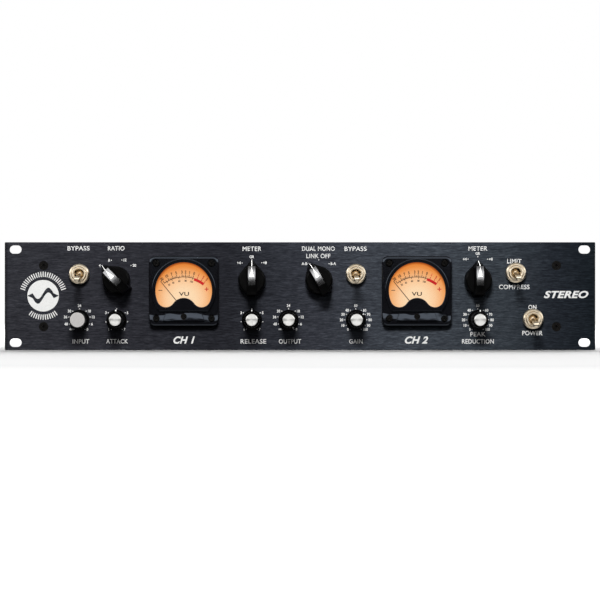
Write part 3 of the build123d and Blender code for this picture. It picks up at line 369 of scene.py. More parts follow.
def black_oxide():
    """Blackened screws with brighter rubbed spots."""
    m = Material("black_oxide", Metallic=0.2, Specular_IOR_Level=0.06)
    rub = m.noise(900, 4, 0.6)
    m.link(m.ramp(rub, (0.4, (0.002, 0.002, 0.002)), (0.75, (0.010, 0.009, 0.008))), "Base Color")
    m.link(m.spread(rub, 0.3, 0.5), "Roughness")
    m.bump(rub, 0.01 * MM, 0.5)
    return m.material


def clear_window():
    """Clear acrylic with a faint smear."""
    m = Material("clear_window", Alpha=0.05, Base_Color=(0.0, 0.0, 0.0, 1.0))
    m.link(m.spread(m.noise(90, 2), 0.01, 0.04), "Roughness")
    return m.material


# The dial card's glow by distance in millimetres from its lamp, which lies below the window's centre.
LAMP_DROP_MM = 7.0
GLOW = (
    (3, (0.99, 0.72, 0.46)),
    (9, (1.0, 0.71, 0.44)),
    (15, (0.98, 0.60, 0.33)),
    (22, (0.90, 0.39, 0.13)),
    (26, (0.88, 0.30, 0.06)),
    (30, (0.86, 0.24, 0.035)),
)
GLOW_REACH_MM = 32.0
# The shade that the rim's top throws: where it starts, over what width and by what height it is full.
SHADE_START_MM, SHADE_WIDTH_MM, SHADE_HEIGHT_MM = 21.4, 1.6, 12
SHADE_TINT = (0.50, 0.34, 0.24)


def dial_card():
    """The meters' card, lit from behind: palest low in the middle and orange at the rim."""
    m = Material("dial_card", Roughness=0.8)
    x, y, z = m.axes()
    middle = (METERS["left"].x + METERS["right"].x) / 2
    half_gap = (METERS["right"].x - METERS["left"].x) / 2
    across = m.math("SUBTRACT", m.math("ABSOLUTE", m.math("SUBTRACT", x, middle)), half_gap)
    up = m.math("SUBTRACT", z, METERS["left"].y)

    def distance(height):
        squares = m.math("ADD", m.math("MULTIPLY", across, across), m.math("MULTIPLY", height, height))
        return m.math("SQRT", squares)

    paper = m.noise(900, 3)
    from_lamp = m.math("DIVIDE", distance(m.math("ADD", up, LAMP_DROP_MM * MM)), GLOW_REACH_MM * MM)
    blend = m.math("ADD", from_lamp, m.spread(paper, -0.02, 0.02))
    glow = m.ramp(blend, *[(mm / GLOW_REACH_MM, colour) for mm, colour in GLOW])
    past_start = m.math("SUBTRACT", distance(up), SHADE_START_MM * MM)
    edge = m.math("MULTIPLY", past_start, 1 / (SHADE_WIDTH_MM * MM))
    upper = m.math("MULTIPLY", up, 1 / (SHADE_HEIGHT_MM * MM))
    for node in (edge.node, upper.node):
        node.use_clamp = True
    shade = m.math("MULTIPLY", edge, upper)
    shaded = m.multiplied(glow, m.ramp(shade, (0.0, (1.0, 1.0, 1.0)), (1.0, SHADE_TINT)))
    m.link(shaded, "Emission Color")
    m.shader.inputs["Emission Strength"].default_value = 1.0
    m.link(m.ramp(paper, (0.3, (0.045, 0.03, 0.018)), (0.7, (0.06, 0.04, 0.024))), "Base Color")
    m.bump(paper, 0.01 * MM, 0.3)
    return m.material


def needle_paint():
    """Dark brown paint of the meters' needles."""
    m = Material("needle_paint", Roughness=0.45)
    tone = m.noise(1200, 2)
    m.link(m.ramp(tone, (0.3, (0.02, 0.012, 0.01)), (0.7, (0.05, 0.02, 0.015))), "Base Color")
    return m.material


def yoke_iron():
    """Rough grey iron of the meters' yokes."""
    m = Material("yoke_iron", Metallic=0.9)
    grain = m.noise(900, 5, 0.7)
    m.link(m.ramp(grain, (0.3, (0.10, 0.10, 0.11)), (0.7, (0.24, 0.24, 0.25))), "Base Color")
    m.link(m.spread(grain, 0.4, 0.65), "Roughness")
    m.bump(grain, 0.03 * MM, 0.6)
    return m.material


def circuit_green():
    """Solder mask with darker copper tracks under it."""
    m = Material("circuit_green", Roughness=0.3)
    tracks = m.nodes.new("ShaderNodeTexBrick")
    tracks.inputs["Scale"].default_value = 160
    tracks.inputs["Mortar Size"].default_value = 0.06
    tracks.inputs["Color1"].default_value = (0.010, 0.065, 0.026, 1)
    tracks.inputs["Color2"].default_value = (0.014, 0.085, 0.034, 1)
    tracks.inputs["Mortar"].default_value = (0.03, 0.16, 0.06, 1)
    m.links.new(m.coordinates, tracks.inputs["Vector"])
    m.link(tracks.outputs["Color"], "Base Color")
    m.bump(tracks.outputs["Fac"], 0.03 * MM, 0.4)
    return m.material


def component_bodies():
    """Cans and mouldings on the board, each region a little different."""
    m = Material("component_bodies", Roughness=0.4)
    cells = m.nodes.new("ShaderNodeTexVoronoi")
    cells.inputs["Scale"].default_value = 38
    m.links.new(m.coordinates, cells.inputs["Vector"])
    tone = m.axes(cells.outputs["Color"])[0]
    black, blue, grey = (0.012, 0.012, 0.016), (0.03, 0.035, 0.07), (0.20, 0.20, 0.21)
    m.link(m.ramp(tone, (0.2, black), (0.6, blue), (0.9, grey)), "Base Color")
    m.bump(m.noise(700, 3), 0.02 * MM, 0.4)
    return m.material


def winding_tape():
    """Yellow polyester tape wound round the transformer."""
    m = Material("winding_tape", Roughness=0.25)
    wraps = m.nodes.new("ShaderNodeTexWave")
    wraps.inputs["Scale"].default_value = 60
    wraps.inputs["Distortion"].default_value = 3
    m.links.new(m.coordinates, wraps.inputs["Vector"])
    turns = wraps.outputs["Fac"]
    m.link(m.ramp(turns, (0.2, (0.50, 0.27, 0.03)), (0.8, (0.74, 0.45, 0.07))), "Base Color")
    m.bump(turns, 0.1 * MM, 0.5)
    return m.material


def dress_cad(nickel):
    """Gives every CAD node the material of its record slot, and the few exceptions their own."""
    by_slot = {
        "panel_black": brushed_panel(),
        "spun_aluminium": turned_aluminium(),
        "knob_black": knob_plastic(),
        "bezel_black": polished_black(),
        "moulded_black": black_moulding("black_moulding"),
        "satin_nickel": nickel,
        "zinc_steel": zinc_plate(),
        "chassis_black": powder_coat(),
        "screw_black": black_oxide(),
        "clear_window": clear_window(),
        "dial_card": dial_card(),
        "pointer_black": needle_paint(),
        "yoke_iron": yoke_iron(),
        "board_green": circuit_green(),
        "components": component_bodies(),
        "transformer_wrap": winding_tape(),
        "connector_black": black_moulding("connector_moulding", 0.02),
    }
    inlay = brushed_inlay()
    exceptions = {f"{name}_knob_inlay": inlay for name in ROTARIES}
    exceptions["input_knob_cap"] = blasted_aluminium()
    for part in RECORD["subparts"]:
        node = part["node"]
        shown = frame["nodes"][node]
        for material_slot in shown.material_slots:
            material_slot.material = exceptions.get(node, by_slot[part["material_slot"]])


# ---------------------------------------------------------------- making pieces
def strip(mesh, rows):
    """Faces between successive rows of two vertices."""
    for first, second in zip(rows, rows[1:]):
        mesh.faces.new((first[0], first[1], second[1], second[0]))


def thicken(mesh, depth):
    """Extrudes every face of the mesh by the vector depth."""
    extruded = bmesh.ops.extrude_face_region(mesh, geom=list(mesh.faces))
    raised = [item for item in extruded["geom"] if isinstance(item, bmesh.types.BMVert)]
    bmesh.ops.translate(mesh, verts=raised, vec=depth)


def place(name, mesh, material, body, smooth=False):
    """Makes a finished bmesh a piece that rides on a body."""
    bmesh.ops.recalc_face_normals(mesh, faces=mesh.faces)
    data = bpy.data.meshes.new(name)
    mesh.to_mesh(data)
    mesh.free()
    piece = bpy.data.objects.new(name, data)
    bpy.context.scene.collection.objects.link(piece)
    data.materials.append(material)
    if smooth:
        data.shade_smooth()
    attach(piece, body)


# ---------------------------------------------------------------- printed pieces
DISC_SIDES = 12


class Print:
    """Flat marks of one ink on a face that looks along -Y, or along +Y if it is at the rear."""

    def __init__(self, rear=False):
        self.mesh = bmesh.new()
        self.facing = 1 if rear else -1

    def outline(self, points, y):
        """A filled outline of (x, z) points in metres at height y."""
        verts = [self.mesh.verts.new((px, y, pz)) for px, pz in points]
        self.mesh.faces.new(verts)

    def ring(self, at, inner, outer, y, start=0.0, end=360.0, segments=96):
        """A band between two radii in metres; angles are degrees clockwise from the top."""
        steps = max(2, round(segments * abs(end - start) / 360))
        rows = []
        for i in range(steps + 1):
            angle = math.radians(start + (end - start) * i / steps)
            direction = Vector((math.sin(angle), math.cos(angle)))
            ends = [(at.x + direction.x * r, y, at.y + direction.y * r) for r in (inner, outer)]
            rows.append([self.mesh.verts.new(end) for end in ends])
        strip(self.mesh, rows)

    def disc(self, at, radius, y):
        angles = [2 * math.pi * i / DISC_SIDES for i in range(DISC_SIDES)]
        self.outline([(at.x + radius * math.cos(a), at.y + radius * math.sin(a)) for a in angles], y)

    def ray(self, at, angle, inner, outer, width, y):
        """A radial bar between two radii, at an angle in radians clockwise from the top."""
        along = Vector((math.sin(angle), math.cos(angle)))
        across = Vector((along.y, -along.x))
        left = [at + along * r - across * (width / 2) for r in (inner, outer)]
        right = [at + along * r + across * (width / 2) for r in (outer, inner)]
        self.outline([tuple(p) for p in left + right], y)

    def text(self, words, at, cap_height, y, weight, angle=0.0, width=None, squeeze=1.0, slant=0.0):
        """Words centred on at, turned clockwise by angle, with a given width or letter squeeze."""
        mesh = text_mesh(words, weight, slant)
        xs = [v.co.x for v in mesh.vertices]
        scale_up = cap_height / CAP_OF_FONT
        scale_x = width / (max(xs) - min(xs)) if width else scale_up * squeeze
        mid_x, mid_y = (max(xs) + min(xs)) / 2, CAP_OF_FONT / 2
        turn = Matrix.Rotation(-angle, 2)
        made = []
        for v in mesh.vertices:
            local = Vector(((v.co.x - mid_x) * scale_x * -self.facing, (v.co.y - mid_y) * scale_up))
            flat = turn @ local + at
            made.append(self.mesh.verts.new((flat.x, y, flat.y)))
        for polygon in mesh.polygons:
            self.mesh.faces.new([made[i] for i in polygon.vertices])
        bpy.data.meshes.remove(mesh)

    def build(self, name, material, thick=INK_THICK):
        """Makes the piece: every mark gets a little thickness towards the viewer."""
        thicken(self.mesh, (0, self.facing * thick, 0))
        place(name, self.mesh, material, "chassis")


LETTER_SPACING = 1.06


def text_mesh(words, weight, slant):
    """The words as a flat mesh in the built-in font, one unit to the em."""
    curve = bpy.data.curves.new("words", "FONT")
    curve.body = words
    curve.offset = weight
    curve.shear = slant
    curve.space_character = LETTER_SPACING
    curve.resolution_u = 6
    holder = bpy.data.objects.new("words", curve)
    bpy.context.scene.collection.objects.link(holder)
    bpy.context.view_layer.update()
    depsgraph = bpy.context.evaluated_depsgraph_get()
    mesh = bpy.data.meshes.new_from_object(holder.evaluated_get(depsgraph))
    bpy.data.objects.remove(holder)
    bpy.data.curves.remove(curve)
    return mesh


def font_cap_height():
    """The height of a capital in the built-in font at one unit to the em."""
    mesh = text_mesh("H", 0.0, 0.0)
    top = max(v.co.y for v in mesh.vertices)
    bpy.data.meshes.remove(mesh)
    return top


CAP_OF_FONT = font_cap_height()

# Letter weights, as the font's outlines are swollen by that share of the em.
THIN, LIGHT, MEDIUM, BOLD = 0.01, 0.012, 0.02, 0.035

# Legends on the panel: their words, place (x, z) and width, in millimetres.
LEGEND_CAP_MM = 3.45
LEGENDS = (
    ("BYPASS", -181.0, 39.1, 18.0),
    ("RATIO", -150.2, 39.1, 13.6),
    ("METER", -39.2, 38.7, 15.4),
    ("DUAL MONO", 15.0, 38.8, 26.8),
    ("LINK OFF", 15.0, 32.8, 19.6),
    ("BYPASS", 45.4, 38.7, 18.0),
    ("METER", 145.4, 38.9, 15.4),
    ("LIMIT", 175.1, 28.5, 11.6),
    ("COMPRESS", 175.1, 7.5, 24.9),
    ("ON", 189.9, -9.0, 6.5),
    ("POWER", 189.9, -30.2, 16.5),
    ("INPUT", -179.0, -37.0, 13.6),
    ("ATTACK", -149.5, -36.9, 17.8),
    ("RELEASE", -38.1, -37.0, 20.9),
    ("OUTPUT", -8.2, -37.0, 18.2),
    ("GAIN", 45.7, -37.0, 11.0),
    ("PEAK", 145.4, -31.1, 12.4),
    ("REDUCTION", 145.4, -37.0, 26.0),
)


def panel_legends(ink):
    """The words above and below the controls."""
    legends = Print()
    for words, x, z, width in LEGENDS:
        at = Vector((x, z)) * MM
        legends.text(words, at, LEGEND_CAP_MM * MM, PANEL_FRONT, LIGHT, width=width * MM)
    legends.build("panel_legends", ink)


# Dots of the scales, and the numbers beside or above them, in millimetres.
POT_DOT_MM, DOT_R_MM = 9.0, 0.42
NUMERAL_CAP_MM, NUMERAL_SQUEEZE = 2.05, 0.9
NUMERAL_GAP_MM, NUMERAL_ADVANCE_MM, NUMERAL_LIFT_MM = 1.15, 0.75, 2.6
# The infinity sign is two small rings, with their middles at these places beside its dot.
INFINITY_MM, INFINITY_INNER_MM, INFINITY_OUTER_MM = (-2.9, -1.75), 0.3, 0.68
POT_TRAVEL = 150.0  # degrees to either side of the top


def numeral(marks, words, dot, side):
    """A number beside its dot: to the left, to the right, or above it when side is 0."""
    reach = (NUMERAL_GAP_MM + NUMERAL_ADVANCE_MM * len(words)) * side
    at = dot + Vector((reach, 0 if side else NUMERAL_LIFT_MM)) * MM
    marks.text(words, at, NUMERAL_CAP_MM * MM, PANEL_FRONT, BOLD, squeeze=NUMERAL_SQUEEZE)


def pot_scales(ink):
    """The dots and numbers round the small knobs."""
    marks = Print()
    level = ["oo", "48", "36", "30", "24", "18", "12", "6", "0"]
    speed = ["1", "", "3", "", "5", "", "7"]
    percent = [str(10 * i) for i in range(11)]
    scales = {
        "input": level,
        "output": level,
        "attack": speed,
        "release": speed,
        "gain": percent,
        "peak_reduction": percent,
    }
    for name, labels in scales.items():
        for i, label in enumerate(labels):
            degrees = -POT_TRAVEL + 2 * POT_TRAVEL * i / (len(labels) - 1)
            angle = math.radians(degrees)
            dot = pot_at(name) + Vector((math.sin(angle), math.cos(angle))) * POT_DOT_MM * MM
            marks.disc(dot, DOT_R_MM * MM, PANEL_FRONT)
            side = 0 if abs(degrees) < 1 else math.copysign(1, degrees)
            if label == "oo":
                for shift in INFINITY_MM:
                    centre = dot + Vector((shift, 0)) * MM
                    inner, outer = INFINITY_INNER_MM * MM, INFINITY_OUTER_MM * MM
                    marks.ring(centre, inner, outer, PANEL_FRONT, segments=20)
            elif label:
                numeral(marks, label, dot, side)
    marks.build("small_knob_scales", ink)


# Each pointer knob's dots, as (x, z) from its axis in millimetres, with their words.
ROTARY_MARKS = {
    "ratio": ((-11.9, 12.0, "4"), (-4.4, 16.4, "8"), (4.2, 16.6, "12"), (11.8, 12.2, "20")),
    "meter_left": ((-8.0, 14.2, "+4"), (0.0, 16.6, "GR"), (8.0, 14.4, "+8")),
    "link": ((-8.4, 13.6, "A-B"), (0.0, 16.7, ""), (8.4, 13.6, "B-A")),
    "meter_right": ((-8.0, 17.3, "+4"), (0.0, 19.3, "GR"), (8.0, 17.3, "+8")),
}


def rotary_scales(ink):
    """The position dots and words round the pointer knobs."""
    marks = Print()
    for name, places in ROTARY_MARKS.items():
        for x, z, words in places:
            dot = rotary_at(name) + Vector((x, z)) * MM
            marks.disc(dot, DOT_R_MM * MM, PANEL_FRONT)
            if words:
                numeral(marks, words, dot, (x > 0) - (x < 0))
    marks.build("pointer_knob_scales", ink)


# The round badge: its centre, its disc, the dark wave across it and the ticks round it.
EMBLEM_AT = Vector((-209.9, 0.3)) * MM
EMBLEM_R_MM, RIM_STEPS = 12.9, 48
WAVE_REACH_MM, WAVE_HEIGHT_MM, WAVE_HALF_WIDTH_MM, WAVE_STEPS = 8.6, 4.6, 2.0, 32
TICK_INNER_MM, TICK_OUTER_MM, TICK_WIDTH_MM = 15.4, 19.6, 0.8
TICK_DEGREES = (*range(-72, 73, 6), *range(144, 217, 6))


def emblem(ink):
    """A plain round badge: a white disc with a dark sine wave, inside a ring of ticks."""
    marks = Print()
    disc_r, wave_r = EMBLEM_R_MM * MM, WAVE_REACH_MM * MM
    amplitude, band = WAVE_HEIGHT_MM * MM, WAVE_HALF_WIDTH_MM * MM
    wave = []
    for i in range(WAVE_STEPS + 1):
        x = -wave_r + 2 * wave_r * i / WAVE_STEPS
        wave.append((x, amplitude * math.sin(math.pi * x / wave_r)))
    upper = [(EMBLEM_AT.x + x, EMBLEM_AT.y + z + band) for x, z in wave]
    lower = [(EMBLEM_AT.x + x, EMBLEM_AT.y + z - band) for x, z in wave]
    angles = [math.radians(-90 + 180 * i / RIM_STEPS) for i in range(RIM_STEPS + 1)]
    rim = [(EMBLEM_AT.x + disc_r * math.sin(a), EMBLEM_AT.y + disc_r * math.cos(a)) for a in angles]
    marks.outline(rim + upper[::-1], PANEL_FRONT)
    under = [(x, 2 * EMBLEM_AT.y - z) for x, z in rim]
    marks.outline(under + lower[::-1], PANEL_FRONT)
    inner, outer, width = TICK_INNER_MM * MM, TICK_OUTER_MM * MM, TICK_WIDTH_MM * MM
    for degrees in TICK_DEGREES:
        marks.ray(EMBLEM_AT, math.radians(degrees), inner, outer, width, PANEL_FRONT)
    marks.build("round_badge", ink)


# Slanted words on the panel: (words, x, z, width) in millimetres.
NAME_CAP_MM, NAME_SLANT = 5.3, 0.3
NAMES = (
    ("STEREO", 217.5, 1.3, 36.4),
    ("CH 1", METERS["left"].x / MM, -35.9, 17.5),
    ("CH 2", METERS["right"].x / MM, -35.9, 19.0),
)


def names(ink):
    """The unit's kind and the channels' numbers."""
    marks = Print()
    for words, x, z, width in NAMES:
        at = Vector((x, z)) * MM
        marks.text(words, at, NAME_CAP_MM * MM, PANEL_FRONT, BOLD, width=width * MM, slant=NAME_SLANT)
    marks.build("channel_names", ink)


# Words on the rear panel, over the connectors: (words, x, z) in millimetres.
REAR_CAP_MM, REAR_SQUEEZE = 2.8, 0.8
REAR_LEGENDS = (
    ("INPUT 1", -188, 16.5),
    ("OUTPUT 1", -154, 16.5),
    ("INPUT 2", -78, 16.5),
    ("OUTPUT 2", -44, 16.5),
    ("MAINS", 176, 16.5),
    ("LINK 1", -115, 9.0),
    ("LINK 2", -5, 9.0),
)


def rear_legends(ink):
    """Function words over the connectors."""
    marks = Print(rear=True)
    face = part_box("rear_panel")[1].y
    for words, x, z in REAR_LEGENDS:
        marks.text(words, Vector((x, z)) * MM, REAR_CAP_MM * MM, face, THIN, squeeze=REAR_SQUEEZE)
    marks.build("rear_legends", ink)


# ---------------------------------------------------------------- meters
# Where each number stands on the dial, in degrees clockwise from the top of the needle's swing.
VU_ANGLES = {"20": -35.8, "10": -26.8, "7": -18.9, "5": -12.0, "3": -3.1, "2": 2.4, "1": 8.6, "0": 15.5}
VU_OVER = {"1": 23.0, "2": 30.6, "3": 36.6}
VU_MINOR = (-31.5, -24.4, -22.6, -20.6, -16.6, -14.4, -7.8, -0.4, 5.4, 12.0)
PERCENT_ANGLES = {"20": -30.5, "40": -21.6, "60": -9.2, "80": 3.4, "100": 15.0}
DIAL_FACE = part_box("vu_dials")[0].y
DIAL_INK_THICK = 0.02 * MM
# Radii of the scale and its numbers about the needle's pivot, in millimetres.
SCALE_R, LABEL_R, PERCENT_R = 27.0, 31.0, 23.9
BLACK_ARC, RED_ARC = (-36.5, 18.0), (18.2, 37.6)  # degrees
# Marks as (inner radius, outer radius) from the scale's line, and their widths, in millimetres.
BLACK_BAND, RED_BAND = (-0.25, 0.25), (-1.7, 0.5)
MAJOR, MINOR, PERCENT, OVER = (0, 2.2), (0, 1.3), (-1.5, 0), (0.6, 2.2)
MAJOR_WIDTH, MINOR_WIDTH, PERCENT_WIDTH = 0.5, 0.42, 0.38
LABEL_CAP, PERCENT_CAP, LABEL_SQUEEZE = 2.2, 1.45, 0.8
# The dial's words and signs, from the meter's centre, in millimetres.
VU_AT, VU_CAP, VU_WIDTH = (0, -2.4), 3.0, 8.3
MINUS_AT, MINUS_HALF, MINUS_WIDTH = (-19.2, 0.5), 1.6, 0.5
PLUS_AT, PLUS_HALF, PLUS_WIDTH = (18.5, 1.4), 1.65, 0.7


def meter_print(black, red):
    """The scales, numbers and signs on both dials."""
    dark, bright = Print(), Print()
    y = DIAL_FACE
    for side in METER_SIDES:
        centre = METERS[side]
        pivot = centre - NEEDLE_PIVOT_DROP

        def band(ink, reach, arc):
            inner, outer = ((SCALE_R + r) * MM for r in reach)
            ink.ring(pivot, inner, outer, y, *arc, segments=400)

        def tick(ink, degrees, reach, width):
            inner, outer = ((SCALE_R + r) * MM for r in reach)
            ink.ray(pivot, math.radians(degrees), inner, outer, width * MM, y)

        def number(ink, words, degrees, radius, cap):
            angle = math.radians(degrees)
            spot = pivot + Vector((math.sin(angle), math.cos(angle))) * radius * MM
            ink.text(words, spot, cap * MM, y, BOLD, angle=angle, squeeze=LABEL_SQUEEZE)

        band(dark, BLACK_BAND, BLACK_ARC)
        for words, degrees in VU_ANGLES.items():
            tick(dark, degrees, MAJOR, MAJOR_WIDTH)
            number(dark, words, degrees, LABEL_R, LABEL_CAP)
        for degrees in VU_MINOR:
            tick(dark, degrees, MINOR, MINOR_WIDTH)
        for words, degrees in PERCENT_ANGLES.items():
            tick(dark, degrees, PERCENT, PERCENT_WIDTH)
            number(dark, words, degrees, PERCENT_R, PERCENT_CAP)
        band(bright, RED_BAND, RED_ARC)
        for words, degrees in VU_OVER.items():
            tick(bright, degrees, OVER, MAJOR_WIDTH)
            number(bright, words, degrees, LABEL_R, LABEL_CAP)
        dark.text("VU", centre + Vector(VU_AT) * MM, VU_CAP * MM, y, MEDIUM, width=VU_WIDTH * MM)

        def bar(ink, at, angle, low, high, width):
            ink.ray(centre + Vector(at) * MM, angle, low * MM, high * MM, width * MM, y)

        bar(dark, MINUS_AT, math.pi / 2, -MINUS_HALF, MINUS_HALF, MINUS_WIDTH)
        bar(bright, PLUS_AT, 0, -PLUS_HALF, PLUS_HALF, PLUS_WIDTH)
        bar(bright, PLUS_AT, math.pi / 2, -PLUS_HALF, -PLUS_WIDTH / 2, PLUS_WIDTH)
        bar(bright, PLUS_AT, math.pi / 2, PLUS_WIDTH / 2, PLUS_HALF, PLUS_WIDTH)
    dark.build("dial_black_print", black, DIAL_INK_THICK)
    bright.build("dial_red_print", red, DIAL_INK_THICK)


# ---------------------------------------------------------------- knobs' painted lines
# The lines' half widths, and their middles as (radius, height over the panel), in millimetres.
POT_LINE_HALF_MM, ROTARY_LINE_HALF_MM = 0.45, 0.32
POT_LINE_PROUD_MM = 0.02
POT_LINE_HEIGHTS_MM, POT_LINE_TOP_MM = (1.0, 2.23), (7.1, 3.63)
ROTARY_LINE_MM = ((16.32, 1.2), (16.02, 3.7), (11.95, 15.5), (10.5, 16.2))
LINE_THICK = 0.1 * MM


def pointer_lines(paint):
    """The white line on each knob's skirt and barrel, or along the nose of a pointer knob."""
    # The input knob's line can't be seen, so it has none.
    for name in POTS[1:]:
        low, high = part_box(f"{name}_knob")
        skirt = (high.x - low.x) / 2 / MM + POT_LINE_PROUD_MM
        profile = (*((skirt, height) for height in POT_LINE_HEIGHTS_MM), POT_LINE_TOP_MM)
        line = ribbon(profile, POT_LINE_HALF_MM)
        paint_line(line, f"{name}_pointer_line", paint, f"{name}_control", pot_at(name))
    for name in ROTARIES:
        line = ribbon(ROTARY_LINE_MM, ROTARY_LINE_HALF_MM)
        paint_line(line, f"{name}_pointer_line", paint, f"{name}_switch", rotary_at(name))


# The arrow raised on each pointer knob's inlay, and the arc of its top, in millimetres.
ARROW_BASE_MM, ARROW_TIP_MM, ARROW_HALF_MM, ARROW_STEPS = 2.35, 10.6, 2.0, 10
ARROW_ARC_R_MM, ARROW_ARC_Z_MM, ARROW_CREST_MM = 25.89, 0.19, 18.7
ARROW_POINT = 0.04  # the width of the arrow's point, as a share of its base


def inlay_arrows(paint):
    """White paint on the arrow of each pointer knob's inlay."""
    for name in ROTARIES:
        mesh = bmesh.new()
        rows = []
        for i in range(ARROW_STEPS + 1):
            share = i / ARROW_STEPS
            along = ARROW_BASE_MM + (ARROW_TIP_MM - ARROW_BASE_MM) * share
            fall = ARROW_ARC_R_MM - math.sqrt(ARROW_ARC_R_MM**2 - (along - ARROW_ARC_Z_MM) ** 2)
            y = PANEL_FRONT - (ARROW_CREST_MM - fall) * MM
            half = ARROW_HALF_MM * MM * max(1 - share, ARROW_POINT)
            rows.append([mesh.verts.new((side * half, y, along * MM)) for side in (-1, 1)])
        strip(mesh, rows)
        depth = (0, LINE_THICK, 0)
        paint_line(mesh, f"{name}_inlay_arrow", paint, f"{name}_switch", rotary_at(name), depth)


def ribbon(profile, half):
    """A strip with its middle along (radius, height over the panel) points above the axis."""
    mesh = bmesh.new()
    rows = []
    for radius, height in profile:
        y = PANEL_FRONT - height * MM
        rows.append([mesh.verts.new((side * half * MM, y, radius * MM)) for side in (-1, 1)])
    strip(mesh, rows)
    return mesh


def paint_line(mesh, name, paint, body, at, depth=(0, 0, -LINE_THICK)):
    """Thickens a painted line, turns it to its control's rest angle, and makes it a piece."""
    thicken(mesh, depth)
    turn = Matrix.Rotation(rest_angle(body), 4, "Y")
    bmesh.ops.transform(mesh, matrix=Matrix.Translation((at.x, 0, at.y)) @ turn, verts=mesh.verts)
    place(name, mesh, paint, body)


# ---------------------------------------------------------------- toggles' nuts and bushes
# Half sections as (radius, height over the panel) in millimetres, from the outside in.
NUT_PROFILE = (
    (8.35, 0.0), (8.35, 2.9), (8.28, 3.3), (8.05, 3.7), (7.6, 4.25), (7.3, 4.5), (7.0, 4.6),
    (6.8, 4.5), (6.62, 4.2), (6.5, 3.7), (6.45, 2.6), (6.0, 2.6),
)
BUSH_PROFILE = (
    (5.97, 2.4), (5.97, 5.45), (5.85, 5.8), (5.6, 6.08), (5.3, 6.2), (5.0, 6.12), (4.78, 5.9),
    (4.62, 5.5), (4.3, 5.3), (4.05, 4.9), (3.92, 4.2), (3.9, 0.0),
)
THREAD_PITCH_MM, THREAD_RISE_MM = 0.7, 0.18
THREAD_LOW_MM, THREAD_HIGH_MM = 2.5, 5.4
LATHE_SIDES = 96


def lathe(mesh, profile, at):
    """Turns a half section about a control's axis into the mesh."""
    rings = []
    for radius, height in profile:
        y = PANEL_FRONT - height * MM
        ring = []
        for i in range(LATHE_SIDES):
            angle = 2 * math.pi * i / LATHE_SIDES
            x, z = at.x + radius * MM * math.sin(angle), at.y + radius * MM * math.cos(angle)
            ring.append(mesh.verts.new((x, y, z)))
        rings.append(ring)
    for first, second in zip(rings, rings[1:]):
        for i in range(LATHE_SIDES):
            j = (i + 1) % LATHE_SIDES
            mesh.faces.new((first[i], first[j], second[j], second[i]))


def threaded(profile):
    """The profile with thread crests on its outer wall."""
    radius = profile[0][0]
    turns = int((THREAD_HIGH_MM - THREAD_LOW_MM) / THREAD_PITCH_MM)
    crests = []
    for i in range(turns):
        foot = THREAD_LOW_MM + i * THREAD_PITCH_MM
        crests += [(radius - THREAD_RISE_MM, foot), (radius, foot + THREAD_PITCH_MM / 2)]
    return (profile[0], *crests, *profile[1:])


def toggle_hardware(nickel):
    """Rounded dress nuts and threaded bushes over the plainer CAD ones."""
    for name in TOGGLES:
        mesh = bmesh.new()
        lathe(mesh, NUT_PROFILE, toggle_at(name))
        lathe(mesh, threaded(BUSH_PROFILE), toggle_at(name))
        place(f"{name}_toggle_hardware", mesh, nickel, "chassis", smooth=True)


# ---------------------------------------------------------------- studio
CAMERA_X_MM, CAMERA_Z_MM, CAMERA_DISTANCE_MM = -24.5, -17.0, 1450.0
VIEW_WIDTH_MM = 490.3  # what the picture's width shows at the panel
VIEW_DROP = 0.0065  # how far the panel's middle stands above the picture's, as a share of its width
SENSOR_MM = 36.0

FLOOR_R, FLOOR_SIDES = 5.0, 96
HAZE_START = 0.5  # metres from the origin, from where the floor fades to white

# Soft lights: name, place, what they point at, width, height and power in watts.
LIGHTS = (
    ("key", (-0.08, -1.06, 1.0), (0, 0, 0), 0.5, 0.3, 38),
    ("rear", (0.1, 1.5, 0.95), (0, 0.1, -0.04), 1.6, 1.6, 230),
    ("left", (-1.5, -0.3, 0.4), (0, 0, 0), 0.7, 0.7, 1),
    ("right", (1.5, -0.3, 0.4), (0, 0, 0), 0.7, 0.7, 1),
)

# What shiny parts see: the room's brightness by the rise of the line of sight, from straight down
# (-1) to straight up (1). It has a pale floor, a dark band up to eye level and a bright wall above.
ROOM = (
    (-0.95, 0.25),
    (-0.75, 0.2),
    (-0.55, 0.02),
    (-0.03, 0.004),
    (0.05, 0.01),
    (0.12, 0.85),
    (0.5, 0.85),
    (0.66, 0.12),
)
ROOM_STRENGTH = 3.0
FILL_COLOUR, FILL_STRENGTH = (0.9, 0.95, 1.0, 1), 0.015  # what matt parts see


def pale_floor():
    """A round pale floor under the object, which fades to white far from it."""
    floor_mesh = bpy.data.meshes.new("floor")
    shape = bmesh.new()
    bmesh.ops.create_circle(shape, cap_ends=True, segments=FLOOR_SIDES, radius=FLOOR_R)
    shape.to_mesh(floor_mesh)
    shape.free()
    floor = bpy.data.objects.new("floor", floor_mesh)
    floor.location.z = CAD_BOX[0].z
    floor.visible_glossy = False
    floor.visible_diffuse = False
    bpy.context.scene.collection.objects.link(floor)
    m = Material("studio_floor", Roughness=0.9)
    m.link(m.ramp(m.noise(3, 2), (0.3, (0.195,) * 3), (0.7, (0.205,) * 3)), "Base Color")
    x, y, _ = m.axes()
    away = m.math("SQRT", m.math("ADD", m.math("MULTIPLY", x, x), m.math("MULTIPLY", y, y)))
    haze = m.math("SUBTRACT", away, HAZE_START)
    haze.node.use_clamp = True
    m.shader.inputs["Emission Color"].default_value = (1, 1, 1, 1)
    m.link(haze, "Emission Strength")
    floor_mesh.materials.append(m.material)


